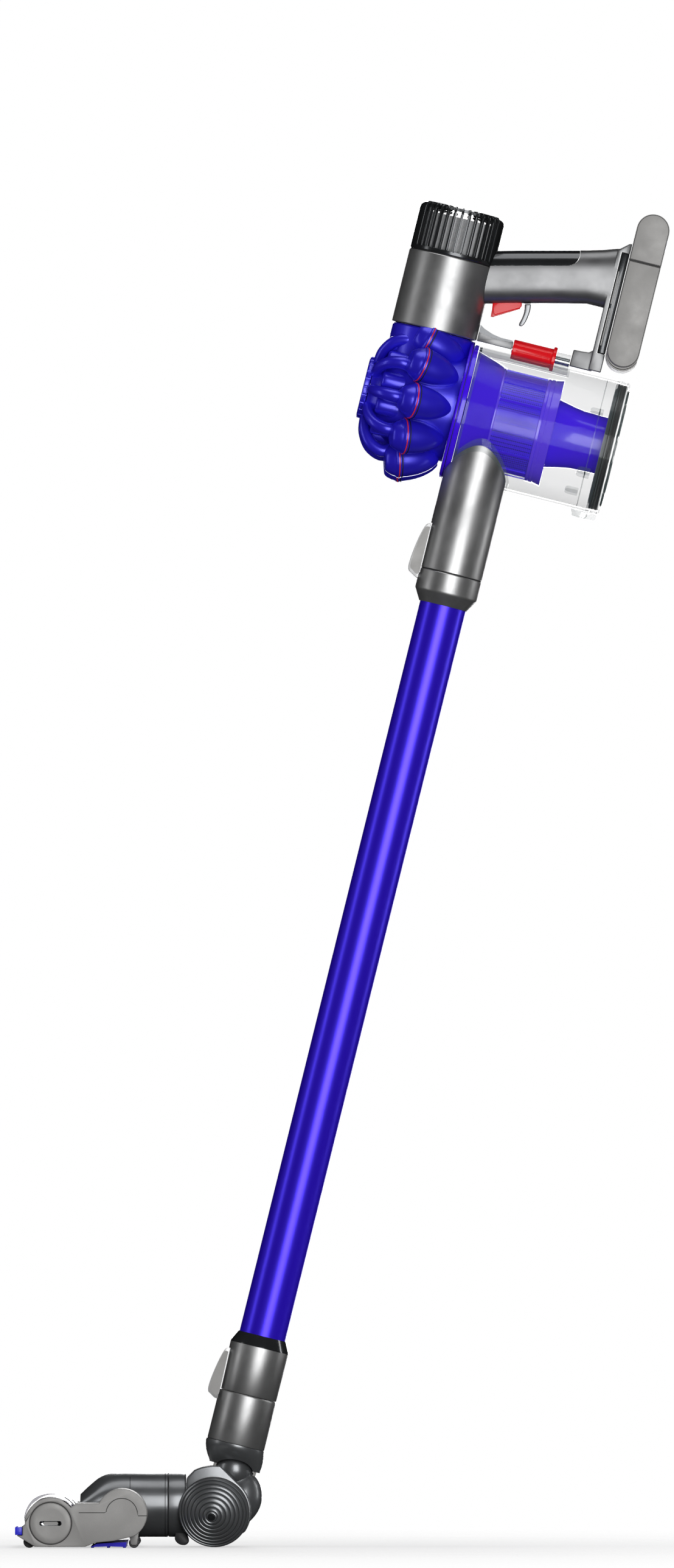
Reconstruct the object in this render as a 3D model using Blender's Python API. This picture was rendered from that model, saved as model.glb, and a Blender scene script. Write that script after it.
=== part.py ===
"""Cordless stick vacuum cleaner: handheld cyclone unit, wand and motorised floor head.

World frame: +X points back to the user, +Z up, the floor is Z = 0, and the middle plane of the
wand and floor head is Y = 0. Shapes are written in millimetres and scaled to metres as meshes
are made. Handheld and wand pieces are written in the wand frame: x = r, square to the wand and
to the rear, y across, z = s, up along the wand's axis.
"""

import math

import bmesh
import bpy
from mathutils import Vector

MM = 0.001

# Overall layout
WAND_LEAN = 13.9            # degrees between the wand and the vertical
WAND_POINT = (58.3, 0.0, 686.4)
HAND_Y = 25.0               # the handheld's middle plane, beside the wand's
GAP = 0.3                   # clearance between neighbouring pieces

# Handheld
MOTOR_R = -63.0             # the motor axis, along the wand
MOTOR_CASE = 36.5
MOTOR_LOW, MOTOR_SPLIT, MOTOR_TOP = 330.2, 393.9, 434.8
BIN_S = 270.6               # the bin and cyclone axis, square to the wand
BIN_RADIUS, BIN_WALL = 57.2, 2.2
BIN_FRONT, BIN_BACK = -21.9, 100.0
PACK_FACE = -30.2
OUTER_CONES, OUTER_CONE_STEP = 11, 27.0
INNER_CONES = 5
RAIL_S = 331.5
SLIDER_FRONT, SLIDER_BACK = 4.6, 41.8
SLIDER_RADIUS, SLIDER_RIM = 8.5, 10.5
FOOT_FRONT = 54.6
POST_FRONT, STRIP_FRONT, BATTERY_FRONT, BATTERY_BACK = 70.8, 74.3, 82.0, 109.6
BATTERY_LOW, BATTERY_SPLIT, BATTERY_TOP = 337.5, 427.4, 469.3
BATTERY_HALF = 33.0
GRIP_LOW, GRIP_HIGH = 1044.8, 1090.2
HINGE_R, HINGE_S = 96.0, 210.4

# Wand and couplings
TUBE_RADIUS, TUBE_BORE = 19.7, 18.1
TUBE_TOP, TUBE_LOW = 130.6, -538.0
COLLAR_RADIUS = 26.6
INLET_JOINT = 134.1
SOCKET_JOINT = -576.0
NECK_LOW = -618.3
PLUG_RADIUS, SOCKET_BORE = 19.2, 19.7

# Floor head
PIVOT = (-108.2, 0.0, 29.8)     # wand pitch axis, along Y
BALL_R, BALL_S, BALL_RADIUS = 4.0, -640.0, 15.8
SWING_S = -635.0                # the sideways swing axis, square to the wand
CHEEK_IN, CHEEK_OUT = 19.3, 22.3
WHEEL_RADIUS, WHEEL_Y, WHEEL_Z = 29.8, 29.6, 29.85
WHEEL_AXIS = (-0.091, 0.978, -0.187)
COLLAR_Z, COLLAR_R = 35.3, 27.0
COLLAR_FRONT, COLLAR_BACK = -147.0, -132.0
BRUSH_X, BRUSH_Z, BRUSH_RADIUS = -244.6, 20.7, 19.8
REAR_X, REAR_Z, REAR_RADIUS = -185.1, 28.5, 21.1
MOTOR_X, MOTOR_Z = -186.0, 24.0     # the brush motor, along Y
BRUSH_PULLEY, MOTOR_PULLEY = 8.0, 5.0
HEAD_HALF, CAP_HALF = 121.5, 125.0
CHAMBER_RADIUS = 22.3

BLUE = (0.035, 0.02, 0.72)
GUNMETAL = (0.16, 0.17, 0.18)
NICKEL = (0.42, 0.43, 0.44)
SATIN = (0.62, 0.61, 0.60)
BLACK = (0.02, 0.02, 0.022)
RED = (0.85, 0.02, 0.03)
CLEAR = (0.88, 0.93, 0.94)

lean = math.radians(WAND_LEAN)


def clear_scene():
    for found in list(bpy.data.objects):
        bpy.data.objects.remove(found, do_unlink=True)


def make_look(name, color, metallic, roughness, alpha=1.0):
    look = bpy.data.materials.new(name)
    look.use_nodes = True
    shader = look.node_tree.nodes["Principled BSDF"]
    shader.inputs["Base Color"].default_value = (*color, 1.0)
    shader.inputs["Metallic"].default_value = metallic
    shader.inputs["Roughness"].default_value = roughness
    shader.inputs["Alpha"].default_value = alpha
    look.diffuse_color = (*color, alpha)
    return look


def make_frame(name, location, lean_angle):
    frame = bpy.data.objects.new(name, None)
    frame.location = [MM * value for value in location]
    frame.rotation_euler = (0.0, lean_angle, 0.0)
    bpy.context.collection.objects.link(frame)
    return frame


def level(r, s):
    """World (X, Z) of a point of the wand frame."""
    return (
        WAND_POINT[0] + r * math.cos(lean) + s * math.sin(lean),
        WAND_POINT[2] - r * math.sin(lean) + s * math.cos(lean),
    )


def make_object(name, points, faces, look, frame, origin=(0.0, 0.0, 0.0), direction=None):
    """A mesh object from points in millimetres, with its origin at the given point of its frame."""
    mesh = bpy.data.meshes.new(name)
    shifted = [[MM * (value - zero) for value, zero in zip(point, origin)] for point in points]
    mesh.from_pydata(shifted, [], faces)
    shape = bmesh.new()
    shape.from_mesh(mesh)
    bmesh.ops.recalc_face_normals(shape, faces=shape.faces)
    shape.to_mesh(mesh)
    shape.free()
    mesh.shade_smooth()
    mesh.set_sharp_from_angle(angle=math.radians(35))
    mesh.materials.append(look)
    made = bpy.data.objects.new(name, mesh)
    made.location = [MM * value for value in origin]
    if direction is not None:
        made.rotation_euler = Vector(direction).to_track_quat("Z", "Y").to_euler()
    made.parent = frame
    bpy.context.collection.objects.link(made)
    return made


def skin(rings, looped):
    """Points and faces of a closed surface through rings of equal size."""
    size = len(rings[0])
    points = [point for ring in rings for point in ring]
    faces = []
    spans = len(rings) if looped else len(rings) - 1
    for i in range(spans):
        low, high = i * size, (i + 1) % len(rings) * size
        for j in range(size):
            k = (j + 1) % size
            faces.append((low + j, low + k, high + k, high + j))
    if not looped:
        faces.append(tuple(range(size)))
        faces.append(tuple(range((len(rings) - 1) * size, len(rings) * size)))
    return points, faces


def circle(radius, height, axis, centre, segments, radius_b=None):
    """A ring about an axis; radius_b is its second half-width."""
    wide = radius if radius_b is None else radius_b
    ring = []
    for i in range(segments):
        angle = 2 * math.pi * i / segments
        a, b = radius * math.cos(angle), wide * math.sin(angle)
        offset = {"x": (height, a, b), "y": (a, height, b), "z": (a, b, height)}[axis]
        ring.append([zero + value for zero, value in zip(centre, offset)])
    return ring


def turned(name, profile, look, frame, axis, centre, looped=False, segments=24, **place):
    """A turned piece: profile holds (radius, height) pairs, closed on itself if looped."""
    rings = [circle(radius, height, axis, centre, segments) for radius, height in profile]
    points, faces = skin(rings, looped)
    return make_object(name, points, faces, look, frame, **place)


def prism(name, outline, low, high, look, frame, axis="y", **place):
    """An outline pushed along an axis. It is (x, z) along y, (x, y) along z, (y, z) along x."""
    rings = []
    for height in (low, high):
        if axis == "y":
            rings.append([(a, height, b) for a, b in outline])
        elif axis == "z":
            rings.append([(a, b, height) for a, b in outline])
        else:
            rings.append([(height, a, b) for a, b in outline])
    points, faces = skin(rings, False)
    return make_object(name, points, faces, look, frame, **place)


def slab(name, x, y, z, look, frame, **place):
    outline = [(x[0], z[0]), (x[1], z[0]), (x[1], z[1]), (x[0], z[1])]
    return prism(name, outline, y[0], y[1], look, frame, **place)


def arc(centre, radius, start, end, count):
    """Points on an arc in the x-z plane, from start to end degrees."""
    found = []
    for i in range(count + 1):
        angle = math.radians(start + (end - start) * i / count)
        found.append((centre[0] + radius * math.cos(angle), centre[1] + radius * math.sin(angle)))
    return found


def spindle(name, start, end, profile, look, frame, segments=10):
    """A turned body between two points: profile holds (share of the length, radius)."""
    low, span = Vector(start), Vector(end) - Vector(start)
    across = span.orthogonal().normalized()
    up = span.cross(across).normalized()
    rings = []
    for share, radius in profile:
        middle = low + span * share
        ring = []
        for i in range(segments):
            angle = 2 * math.pi * i / segments
            ring.append(tuple(middle + radius * (math.cos(angle) * across + math.sin(angle) * up)))
        rings.append(ring)
    points, faces = skin(rings, False)
    return make_object(name, points, faces, look, frame)


def ball(name, centre, radii, look, frame, segments=24, rows=12):
    rings = []
    for i in range(1, rows):
        angle = math.pi * i / rows
        flat, height = math.sin(angle), math.cos(angle) * radii[2]
        rings.append(circle(radii[0] * flat, height, "z", centre, segments, radii[1] * flat))
    points, faces = skin(rings, False)
    return make_object(name, points, faces, look, frame)


def soften(piece, width, segments=2):
    bevel = piece.modifiers.new("soft_edges", "BEVEL")
    bevel.width = MM * width
    bevel.segments = segments
    bevel.limit_method = "ANGLE"
    bevel.angle_limit = math.radians(40)
    return piece


def combine(piece, operation, *others):
    """Boolean modifiers with helper objects, which stay hidden from the render."""
    for other in others:
        step = piece.modifiers.new(other.name, "BOOLEAN")
        step.operation = operation
        step.object = other
        other.hide_render = True
        other.display_type = "WIRE"
    return piece


def cut(piece, *others):
    return combine(piece, "DIFFERENCE", *others)


def join(piece, *others):
    return combine(piece, "UNION", *others)


def make_motor(hand, looks):
    axis = (MOTOR_R, HAND_Y, 0.0)
    inner = MOTOR_CASE - 2.4
    case = [(MOTOR_CASE, MOTOR_LOW), (MOTOR_CASE, MOTOR_SPLIT - GAP), (inner, MOTOR_SPLIT - GAP)]
    turned("motor_housing", [*case, (inner, MOTOR_LOW)], looks["nickel"], hand, "z", axis, True, 32)
    stator = [(31.8, 342.0), (31.8, 386.0), (15.0, 386.0), (15.0, 342.0)]
    turned("motor_stator", stator, looks["black"], hand, "z", axis, True, 24)
    rotor = [(2.5, 334.0), (26.0, 335.0), (28.0, 340.0), (4.0, 341.5), (4.0, 345.0)]
    rotor += [(13.5, 346.0), (13.5, 384.0), (3.0, 385.0), (3.0, 392.0)]
    turned("motor_impeller", rotor, looks["metal"], hand, "z", axis, False, 24, origin=axis)


def make_exhaust(hand, looks):
    """The slotted cap over the motor and the filter ring inside it."""
    axis = (MOTOR_R, HAND_Y, 0.0)
    inner = MOTOR_CASE - 2.4
    shape = [(inner, MOTOR_TOP - 2.6), (inner, MOTOR_SPLIT), (MOTOR_CASE, MOTOR_SPLIT)]
    shape += [(MOTOR_CASE, MOTOR_TOP - 4.4), (MOTOR_CASE - 2.4, MOTOR_TOP)]
    cap = turned("exhaust_cap", shape, looks["gunmetal"], hand, "z", axis, False, 32, origin=axis)
    points, faces = [], []
    for side in (-1, 1):
        for i in range(12):
            angle = math.radians(90 * side - 55 + 10 * i)
            out = Vector((math.cos(angle), math.sin(angle), 0.0))
            over = Vector((-out.y, out.x, 0.0))
            first = len(points)
            for height in (398.0, MOTOR_TOP + 2.0):
                for reach, half in ((29.0, -1.5), (37.5, -1.5), (37.5, 1.5), (29.0, 1.5)):
                    spot = Vector(axis) + reach * out + half * over
                    points.append((spot.x, spot.y, height))
            faces.append([first + k for k in range(4)])
            faces.append([first + 4 + k for k in range(4)])
            for k in range(4):
                following = (k + 1) % 4
                faces.append([first + k, first + following, first + 4 + following, first + 4 + k])
    cut(cap, make_object("exhaust_slots", points, faces, looks["black"], hand))
    ring = [(31.4, 396.0), (31.4, 427.5), (14.0, 427.5), (14.0, 396.0)]
    turned("post_filter", ring, looks["filter"], hand, "z", axis, True, 24, origin=axis)


def on_bin(radius, degrees, r):
    """A point around the bin axis, with the angle counted from straight down."""
    angle = math.radians(degrees)
    return (r, HAND_Y + radius * math.sin(angle), BIN_S - radius * math.cos(angle))


def make_cyclones(hand, looks):
    axis = (0.0, HAND_Y, BIN_S)
    core = [(46.0, PACK_FACE), (50.0, -40.0), (54.0, -52.0), (56.0, -62.0), (52.0, -76.0)]
    core += [(44.0, -90.0), (34.0, -102.0), (28.0, -104.2)]
    pack = turned("cyclone_pack", core, looks["blue"], hand, "x", axis, False, 32)
    neck_profile = [(32.6, 286.0), (32.6, MOTOR_LOW - GAP)]
    neck_axis = (MOTOR_R, HAND_Y, 0.0)
    neck = turned("cyclone_neck", neck_profile, looks["blue"], hand, "z", neck_axis)
    join(pack, neck)
    cone_shape = [(-0.42, 5.0), (-0.25, 10.5), (0.0, 13.4), (0.35, 12.4), (0.72, 9.0), (1.0, 3.6)]
    for i in range(OUTER_CONES):
        turn = OUTER_CONE_STEP * (i - (OUTER_CONES - 1) / 2)
        base, tip = on_bin(58.6, turn, -64.0), on_bin(48.0, turn, -34.0)
        join(pack, spindle(f"outer_cone_{i}", base, tip, cone_shape, looks["blue"], hand))
    stub_shape = [(0.0, 11.0), (0.7, 10.4), (1.0, 7.0)]
    for i in range(INNER_CONES):
        turn = 360.0 / INNER_CONES * i
        low, high = on_bin(34.0, turn, -72.0), on_bin(38.0, turn, -99.0)
        join(pack, spindle(f"inner_cone_{i}", low, high, stub_shape, looks["blue"], hand))
    hollow = [(38.0, -20.0), (42.0, -40.0), (45.0, -58.0), (40.0, -74.0), (24.0, -86.0)]
    hollow += [(13.6, -90.0), (13.6, -112.0)]
    cut(pack, turned("pack_hollow", hollow, looks["blue"], hand, "x", axis, False, 24))
    duct = [(20.0, 292.0), (20.0, 336.0)]
    cut(pack, turned("pack_duct", duct, looks["blue"], hand, "z", neck_axis, False, 24))
    flange = [(43.0, PACK_FACE + GAP), (58.6, PACK_FACE + GAP), (59.0, -28.0), (57.4, BIN_FRONT - GAP)]
    flange += [(43.0, BIN_FRONT - GAP)]
    turned("cyclone_flange", flange, looks["blue"], hand, "x", axis, True, 32)


def make_shroud(hand, looks):
    axis = (0.0, HAND_Y, BIN_S)
    outside = [(53.2, BIN_FRONT), (44.8, 3.0), (43.6, 3.4), (43.6, 42.4), (44.6, 42.8), (46.0, 54.0)]
    inside = [(43.8, 54.0), (42.6, 46.0), (41.4, 42.0), (41.4, 4.0), (51.0, BIN_FRONT)]
    shroud = turned("shroud", outside + inside, looks["violet"], hand, "x", axis, True, 32)
    groove = [(12.9, -40.0), (12.9, 60.0)]
    groove_axis = (0.0, HAND_Y, RAIL_S)
    cut(shroud, turned("shroud_groove", groove, looks["violet"], hand, "x", groove_axis))
    cone = [(41.2, 47.0), (41.6, 49.0), (33.0, 49.4), (29.3, 55.0), (24.9, 76.0), (24.4, 98.0)]
    cone += [(22.6, 98.0), (23.1, 76.0), (27.4, 54.0), (31.6, 47.0)]
    turned("dust_cone", cone, looks["violet"], hand, "x", axis, True, 32)


def make_filter_stick(hand, looks):
    axis = (0.0, HAND_Y, BIN_S)
    knob = [(25.0, -104.6), (26.8, -105.6), (26.8, -108.6), (25.4, -109.7)]
    turned("filter_knob", knob, looks["blue"], hand, "x", axis, origin=axis)
    stick = [(11.0, -104.3), (12.6, -96.0), (11.6, -20.0), (10.2, 28.0), (7.0, 32.0)]
    turned("pre_filter", stick, looks["filter"], hand, "x", axis, segments=20, origin=axis)


def make_rail(hand, looks):
    rail = slab("release_rail", (-26.0, 4.3), (HAND_Y - 7, HAND_Y + 7), (330.7, 338.0), looks["clear"], hand)
    soften(rail, 0.8, 1)
    rod_axis = (0.0, HAND_Y, RAIL_S)
    join(rail, turned("rail_rod", [(3.2, 0.0), (3.2, FOOT_FRONT - GAP)], looks["clear"], hand, "x", rod_axis, False, 16))
    sleeve = [(SLIDER_RADIUS, SLIDER_FRONT), (SLIDER_RADIUS, 38.6), (SLIDER_RIM, 38.8)]
    sleeve += [(SLIDER_RIM, SLIDER_BACK), (3.6, SLIDER_BACK), (3.6, SLIDER_FRONT)]
    origin = (SLIDER_FRONT, HAND_Y, RAIL_S)
    turned("release_slider", sleeve, looks["red"], hand, "x", rod_axis, True, 24, origin=origin)


def make_bin(hand, looks):
    axis = (0.0, HAND_Y, BIN_S)
    inner = BIN_RADIUS - BIN_WALL
    wall = [(BIN_RADIUS, BIN_FRONT), (BIN_RADIUS, BIN_BACK), (inner, BIN_BACK), (inner, BIN_FRONT)]
    shell = turned("bin_shell", wall, looks["clear"], hand, "x", axis, True, 32, origin=axis)
    rail_axis = (0.0, HAND_Y, RAIL_S)
    channel_end = FOOT_FRONT + 1.6
    channel_shape = [(12.3, BIN_FRONT), (12.3, channel_end)]
    channel = turned("bin_channel", channel_shape, looks["clear"], hand, "x", rail_axis, False, 24)
    round_shape = [(BIN_RADIUS - 0.2, BIN_FRONT - 5), (BIN_RADIUS - 0.2, BIN_BACK)]
    combine(channel, "INTERSECT", turned("bin_round", round_shape, looks["clear"], hand, "x", axis, False, 32))
    bore = [(SLIDER_RIM + 0.5, BIN_FRONT - 9), (SLIDER_RIM + 0.5, channel_end - 1.8)]
    join(shell, channel)
    cut(shell, turned("bin_channel_bore", bore, looks["clear"], hand, "x", rail_axis, False, 24))
    inlet_hole = [(18.4, 190.0), (18.4, 262.0)]
    cut(shell, turned("bin_inlet_hole", inlet_hole, looks["clear"], hand, "z", (0, 0, 0), False, 24))
    for side in (-1, 1):
        ear = [(86.0, 215.0), (87.0, HINGE_S - 3.4), (HINGE_R + 2.0, HINGE_S - 3.4)]
        ear += [(HINGE_R + 3.4, HINGE_S), (HINGE_R + 3.4, 215.0)]
        low, high = sorted((HAND_Y + side * 10.0, HAND_Y + side * 14.0))
        join(shell, prism(f"bin_ear_{side + 1}", ear, low, high, looks["clear"], hand))
    pin_hole = [(2.1, HAND_Y - 20), (2.1, HAND_Y + 20)]
    cut(shell, turned("bin_pin_hole", pin_hole, looks["clear"], hand, "y", (HINGE_R, 0, HINGE_S), False, 12))


def make_lid(hand, looks):
    axis = (0.0, HAND_Y, BIN_S)
    hinge = (HINGE_R, HAND_Y, HINGE_S)
    cup = [(54.4, 106.6), (54.4, BIN_BACK + 0.4), (57.8, BIN_BACK + 0.4), (57.8, 107.6), (56.0, 109.6)]
    lid = turned("bin_lid", cup, looks["clear"], hand, "x", axis, False, 32, origin=hinge)
    lug = [(HINGE_R - 2.6, HINGE_S - 0.6), (HINGE_R - 1.5, HINGE_S - 3.4), (106.0, HINGE_S - 3.4)]
    lug += [(107.4, 216.0), (100.8, 216.0), (100.8, HINGE_S + 1.6), (HINGE_R - 2.0, HINGE_S + 1.6)]
    join(lid, prism("lid_lug", lug, HAND_Y - 9.6, HAND_Y + 9.6, looks["clear"], hand))
    pin_hole = [(2.1, HAND_Y - 20), (2.1, HAND_Y + 20)]
    cut(lid, turned("lid_pin_hole", pin_hole, looks["clear"], hand, "y", (HINGE_R, 0, HINGE_S), False, 12))
    seal = [(53.4, 98.6), (54.0, 101.0), (54.0, 106.2), (45.0, 106.2), (45.0, 97.8), (49.0, 97.0)]
    turned("lid_seal", seal, looks["rubber"], hand, "x", axis, True, 32, origin=hinge)
    pin = [(1.8, HAND_Y - 14), (1.8, HAND_Y + 14)]
    turned("lid_hinge_pin", pin, looks["metal"], hand, "y", (HINGE_R, 0, HINGE_S), False, 12, origin=hinge)


def make_inlet(hand, looks):
    """The metal-look socket under the bin, with its rocking release button."""
    tube = [(COLLAR_RADIUS, INLET_JOINT + GAP), (COLLAR_RADIUS, 262.0), (SOCKET_BORE, 262.0)]
    tube += [(SOCKET_BORE, INLET_JOINT + GAP)]
    inlet = turned("inlet_tube", tube, looks["nickel"], hand, "z", (0, 0, 0), True, 28)
    room = [(BIN_RADIUS + GAP, 60.0), (BIN_RADIUS + GAP, -21.6), (59.8, -21.8), (59.8, -45.0)]
    cut(inlet, turned("inlet_bin_room", room, looks["nickel"], hand, "x", (0, HAND_Y, BIN_S), False, 32))
    cut(inlet, slab("inlet_pocket", (-32, -22.0), (-7.7, 7.7), (125, 173), looks["nickel"], hand))
    outline = [(-24.0, 171.0), (-27.0, 171.0), (-30.8, 152.0), (-33.2, 136.0), (-31.8, 128.6)]
    outline += [(-28.8, 128.6), (-28.8, 136.5), (-24.2, 140.0)]
    origin = (-25.0, 0.0, 169.0)
    soften(prism("inlet_button", outline, -7.0, 7.0, looks["satin"], hand, origin=origin), 0.8, 1)


def make_handle(hand, floor, looks):
    rings = []
    middle, half = (GRIP_LOW + GRIP_HIGH) / 2, (GRIP_HIGH - GRIP_LOW) / 2
    for x in (100.0, 236.0):
        ring = []
        for i in range(28):
            angle = 2 * math.pi * i / 28
            across, up = math.cos(angle), math.sin(angle)
            ring.append((
                x,
                HAND_Y + 17.0 * math.copysign(abs(across) ** 0.7, across),
                middle + half * math.copysign(abs(up) ** 0.7, up),
            ))
        rings.append(ring)
    points, faces = skin(rings, False)
    handle = make_object("handle_body", points, faces, looks["grey"], floor)
    foot_low = BIN_S + BIN_RADIUS + 1.0
    post = [(POST_FRONT, foot_low + 0.6), (81.6, foot_low + 0.6), (81.6, 441.0), (79.8, 441.0)]
    post += [(POST_FRONT, 433.2)]
    join(handle, prism("handle_post", post, HAND_Y - 15, HAND_Y + 15, looks["grey"], hand))
    foot = [(FOOT_FRONT, foot_low), (72.0, foot_low), (72.0, 343.6), (FOOT_FRONT + 0.4, 343.2)]
    join(handle, prism("handle_foot", foot, HAND_Y - 11, HAND_Y + 11, looks["grey"], hand))
    motor_room = [(MOTOR_CASE + GAP, 300.0), (MOTOR_CASE + GAP, 470.0)]
    axis = (MOTOR_R, HAND_Y, 0.0)
    cut(handle, turned("handle_motor_room", motor_room, looks["grey"], hand, "z", axis, False, 32))
    strip_room = [(STRIP_FRONT - 0.1, 345.0), (81.7, 345.0), (81.7, 320.0), (130.0, 320.0)]
    strip_room += [(130.0, 470.0), (81.7, 470.0), (81.7, 432.6), (STRIP_FRONT - 0.1, 432.6)]
    cut(handle, prism("handle_battery_room", strip_room, HAND_Y - 30, HAND_Y + 30, looks["grey"], hand))
    cover_low = 1076.6
    cut(handle, slab("handle_cover_room", (90, 200), (0, 46), (cover_low, 1099), looks["grey"], floor))
    pocket_y = (HAND_Y - 9.5, HAND_Y + 9.5)
    cut(handle, slab("handle_pocket", (135, 192), pocket_y, (1058, 1078), looks["grey"], floor))
    trigger_y = (HAND_Y - 6.8, HAND_Y + 6.8)
    cut(handle, slab("handle_trigger_room", (121.5, 152.5), trigger_y, (1040, 1056), looks["grey"], floor))
    cover_points = [[(point[0], point[1], point[2]) for point in ring] for ring in rings]
    points, faces = skin(cover_points, False)
    cover = make_object("grip_cover", points, faces, looks["gunmetal"], floor)
    window = [(90, cover_low + GAP), (194, cover_low + GAP), (199.6, cover_low + 5), (199.6, 1099), (90, 1099)]
    combine(cover, "INTERSECT", prism("cover_window", window, 0, 46, looks["gunmetal"], floor))
    cut(cover, turned("cover_motor_room", motor_room, looks["grey"], hand, "z", axis, False, 32))
    board = slab("control_board", (138, 188), (HAND_Y - 8.5, HAND_Y + 8.5), (1064, 1065.6), looks["board"], floor)
    chip = slab("board_parts", (150, 176), (HAND_Y - 5, HAND_Y + 5), (1065, 1069), looks["board"], floor)
    join(board, chip)
    slab("trigger_switch", (140, 156), (HAND_Y - 4, HAND_Y + 4), (1058.5, 1063.6), looks["black"], floor)


def make_trigger(hand, floor, looks):
    pivot = (147.5, HAND_Y, 1044.0)
    outline = [(125.0, 1035.2), (149.6, 1041.6), (150.6, 1044.0), (149.0, 1047.2), (126.4, 1048.8)]
    trigger = prism("trigger", outline, HAND_Y - 6.2, HAND_Y + 6.2, looks["red"], floor, origin=pivot)
    soften(trigger, 0.9, 1)
    guard = [(152.8, GRIP_LOW - GAP), (157.2, GRIP_LOW - GAP), (152.2, 1028.0), (150.0, 1026.4), (148.0, 1028.0)]
    soften(prism("finger_guard", guard, HAND_Y - 10, HAND_Y + 10, looks["nickel"], floor), 0.8, 1)


def battery_outline(inset, low, high):
    """The battery's side outline between two heights: a slab with round ends."""
    front, back = BATTERY_FRONT + inset, BATTERY_BACK - inset
    radius, middle = (back - front) / 2, (front + back) / 2
    outline = []
    if low < BATTERY_LOW + 5:
        outline += arc((middle, BATTERY_LOW + inset + radius), radius, 180, 360, 12)
    else:
        outline += [(front, low), (back, low)]
    if high > BATTERY_TOP - 5:
        outline += arc((middle, BATTERY_TOP - inset - radius), radius, 0, 180, 12)
    else:
        outline += [(back, high), (front, high)]
    return outline


def make_battery(hand, looks):
    y = (HAND_Y - BATTERY_HALF, HAND_Y + BATTERY_HALF)
    inner_y = (y[0] + 2.2, y[1] - 2.2)
    low_outline = battery_outline(0.0, BATTERY_LOW, BATTERY_SPLIT - GAP)
    case = prism("battery_case", low_outline, *y, looks["satin"], hand)
    soften(case, 1.6, 2)
    room = battery_outline(2.2, BATTERY_LOW + 10, BATTERY_SPLIT + 4)
    cut(case, prism("battery_room", room, *inner_y, looks["satin"], hand))
    top_outline = battery_outline(0.0, BATTERY_SPLIT, BATTERY_TOP)
    top = prism("battery_cover", top_outline, *y, looks["satin"], hand)
    soften(top, 1.6, 2)
    top_room = battery_outline(2.2, BATTERY_SPLIT - 4, BATTERY_TOP - 14)
    cut(top, prism("battery_cover_room", top_room, *inner_y, looks["satin"], hand))
    button_s, centre_r = 447.0, (BATTERY_FRONT + BATTERY_BACK) / 2
    hole = [(6.5, BATTERY_BACK - 5), (6.5, BATTERY_BACK + 3)]
    button_axis = (0.0, HAND_Y, button_s)
    cut(top, turned("power_hole", hole, looks["satin"], hand, "x", button_axis, False, 20))
    button = [(6.1, BATTERY_BACK - 1.9), (6.1, BATTERY_BACK - 0.4), (5.4, BATTERY_BACK + 0.2)]
    origin = (BATTERY_BACK, HAND_Y, button_s)
    turned("power_button", button, looks["blue"], hand, "x", button_axis, False, 20, origin=origin)
    cells = None
    for i in range(4):
        spot = (centre_r, 0.0, 359.0 + 18.9 * i)
        cell = [(9.0, HAND_Y - 29.5), (9.0, HAND_Y + 29.5)]
        name = "battery_cells" if cells is None else f"battery_cell_{i}"
        made = turned(name, cell, looks["metal"], hand, "y", spot, False, 16)
        cells = made if cells is None else join(cells, made)
    strap_y = (HAND_Y - 30.0, HAND_Y + 30.0)
    join(cells, slab("cell_strap", (centre_r - 4, centre_r + 4), strap_y, (359, 415.7), looks["metal"], hand))
    strip = slab("contact_strip", (STRIP_FRONT + GAP, 81.5), (HAND_Y - 14, HAND_Y + 14), (345.4, 432.2), looks["black"], hand)
    soften(strip, 1.0, 1)


def make_wand(hand, looks):
    tube = [(TUBE_RADIUS, TUBE_LOW), (TUBE_RADIUS, TUBE_TOP), (TUBE_BORE, TUBE_TOP), (TUBE_BORE, TUBE_LOW)]
    turned("wand_tube", tube, looks["blue_metal"], hand, "z", (0, 0, 0), True, 32)
    fit = TUBE_RADIUS + 0.35
    collar = [(fit, 107.4), (fit + 0.6, 107.4), (COLLAR_RADIUS, 117.1), (COLLAR_RADIUS, INLET_JOINT)]
    collar += [(PLUG_RADIUS, INLET_JOINT), (PLUG_RADIUS, 172.0), (17.0, 174.0), (17.0, 131.0), (fit, 131.0)]
    turned("wand_collar", collar, looks["nickel"], hand, "z", (0, 0, 0), True, 28)
    socket = [(fit, -525.5), (fit + 0.6, -525.5), (25.0, -534.7), (24.3, SOCKET_JOINT + GAP)]
    socket += [(SOCKET_BORE, SOCKET_JOINT + GAP), (SOCKET_BORE, -541.0), (18.2, -541.0)]
    socket += [(18.2, -538.4), (fit, -538.4)]
    lower = turned("wand_socket", socket, looks["nickel"], hand, "z", (0, 0, 0), True, 28)
    cut(lower, slab("socket_pocket", (-32, -21.4), (-7.7, 7.7), (-590, -540.6), looks["nickel"], hand))
    outline = [(-22.8, -542.0), (-25.2, -542.0), (-28.8, -560.0), (-31.8, -576.0), (-30.6, -581.4)]
    outline += [(-27.4, -581.4), (-27.4, -576.0), (-23.4, -572.0)]
    origin = (-23.6, 0.0, -544.0)
    soften(prism("wand_button", outline, -7.0, 7.0, looks["satin"], hand, origin=origin), 0.8, 1)


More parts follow.
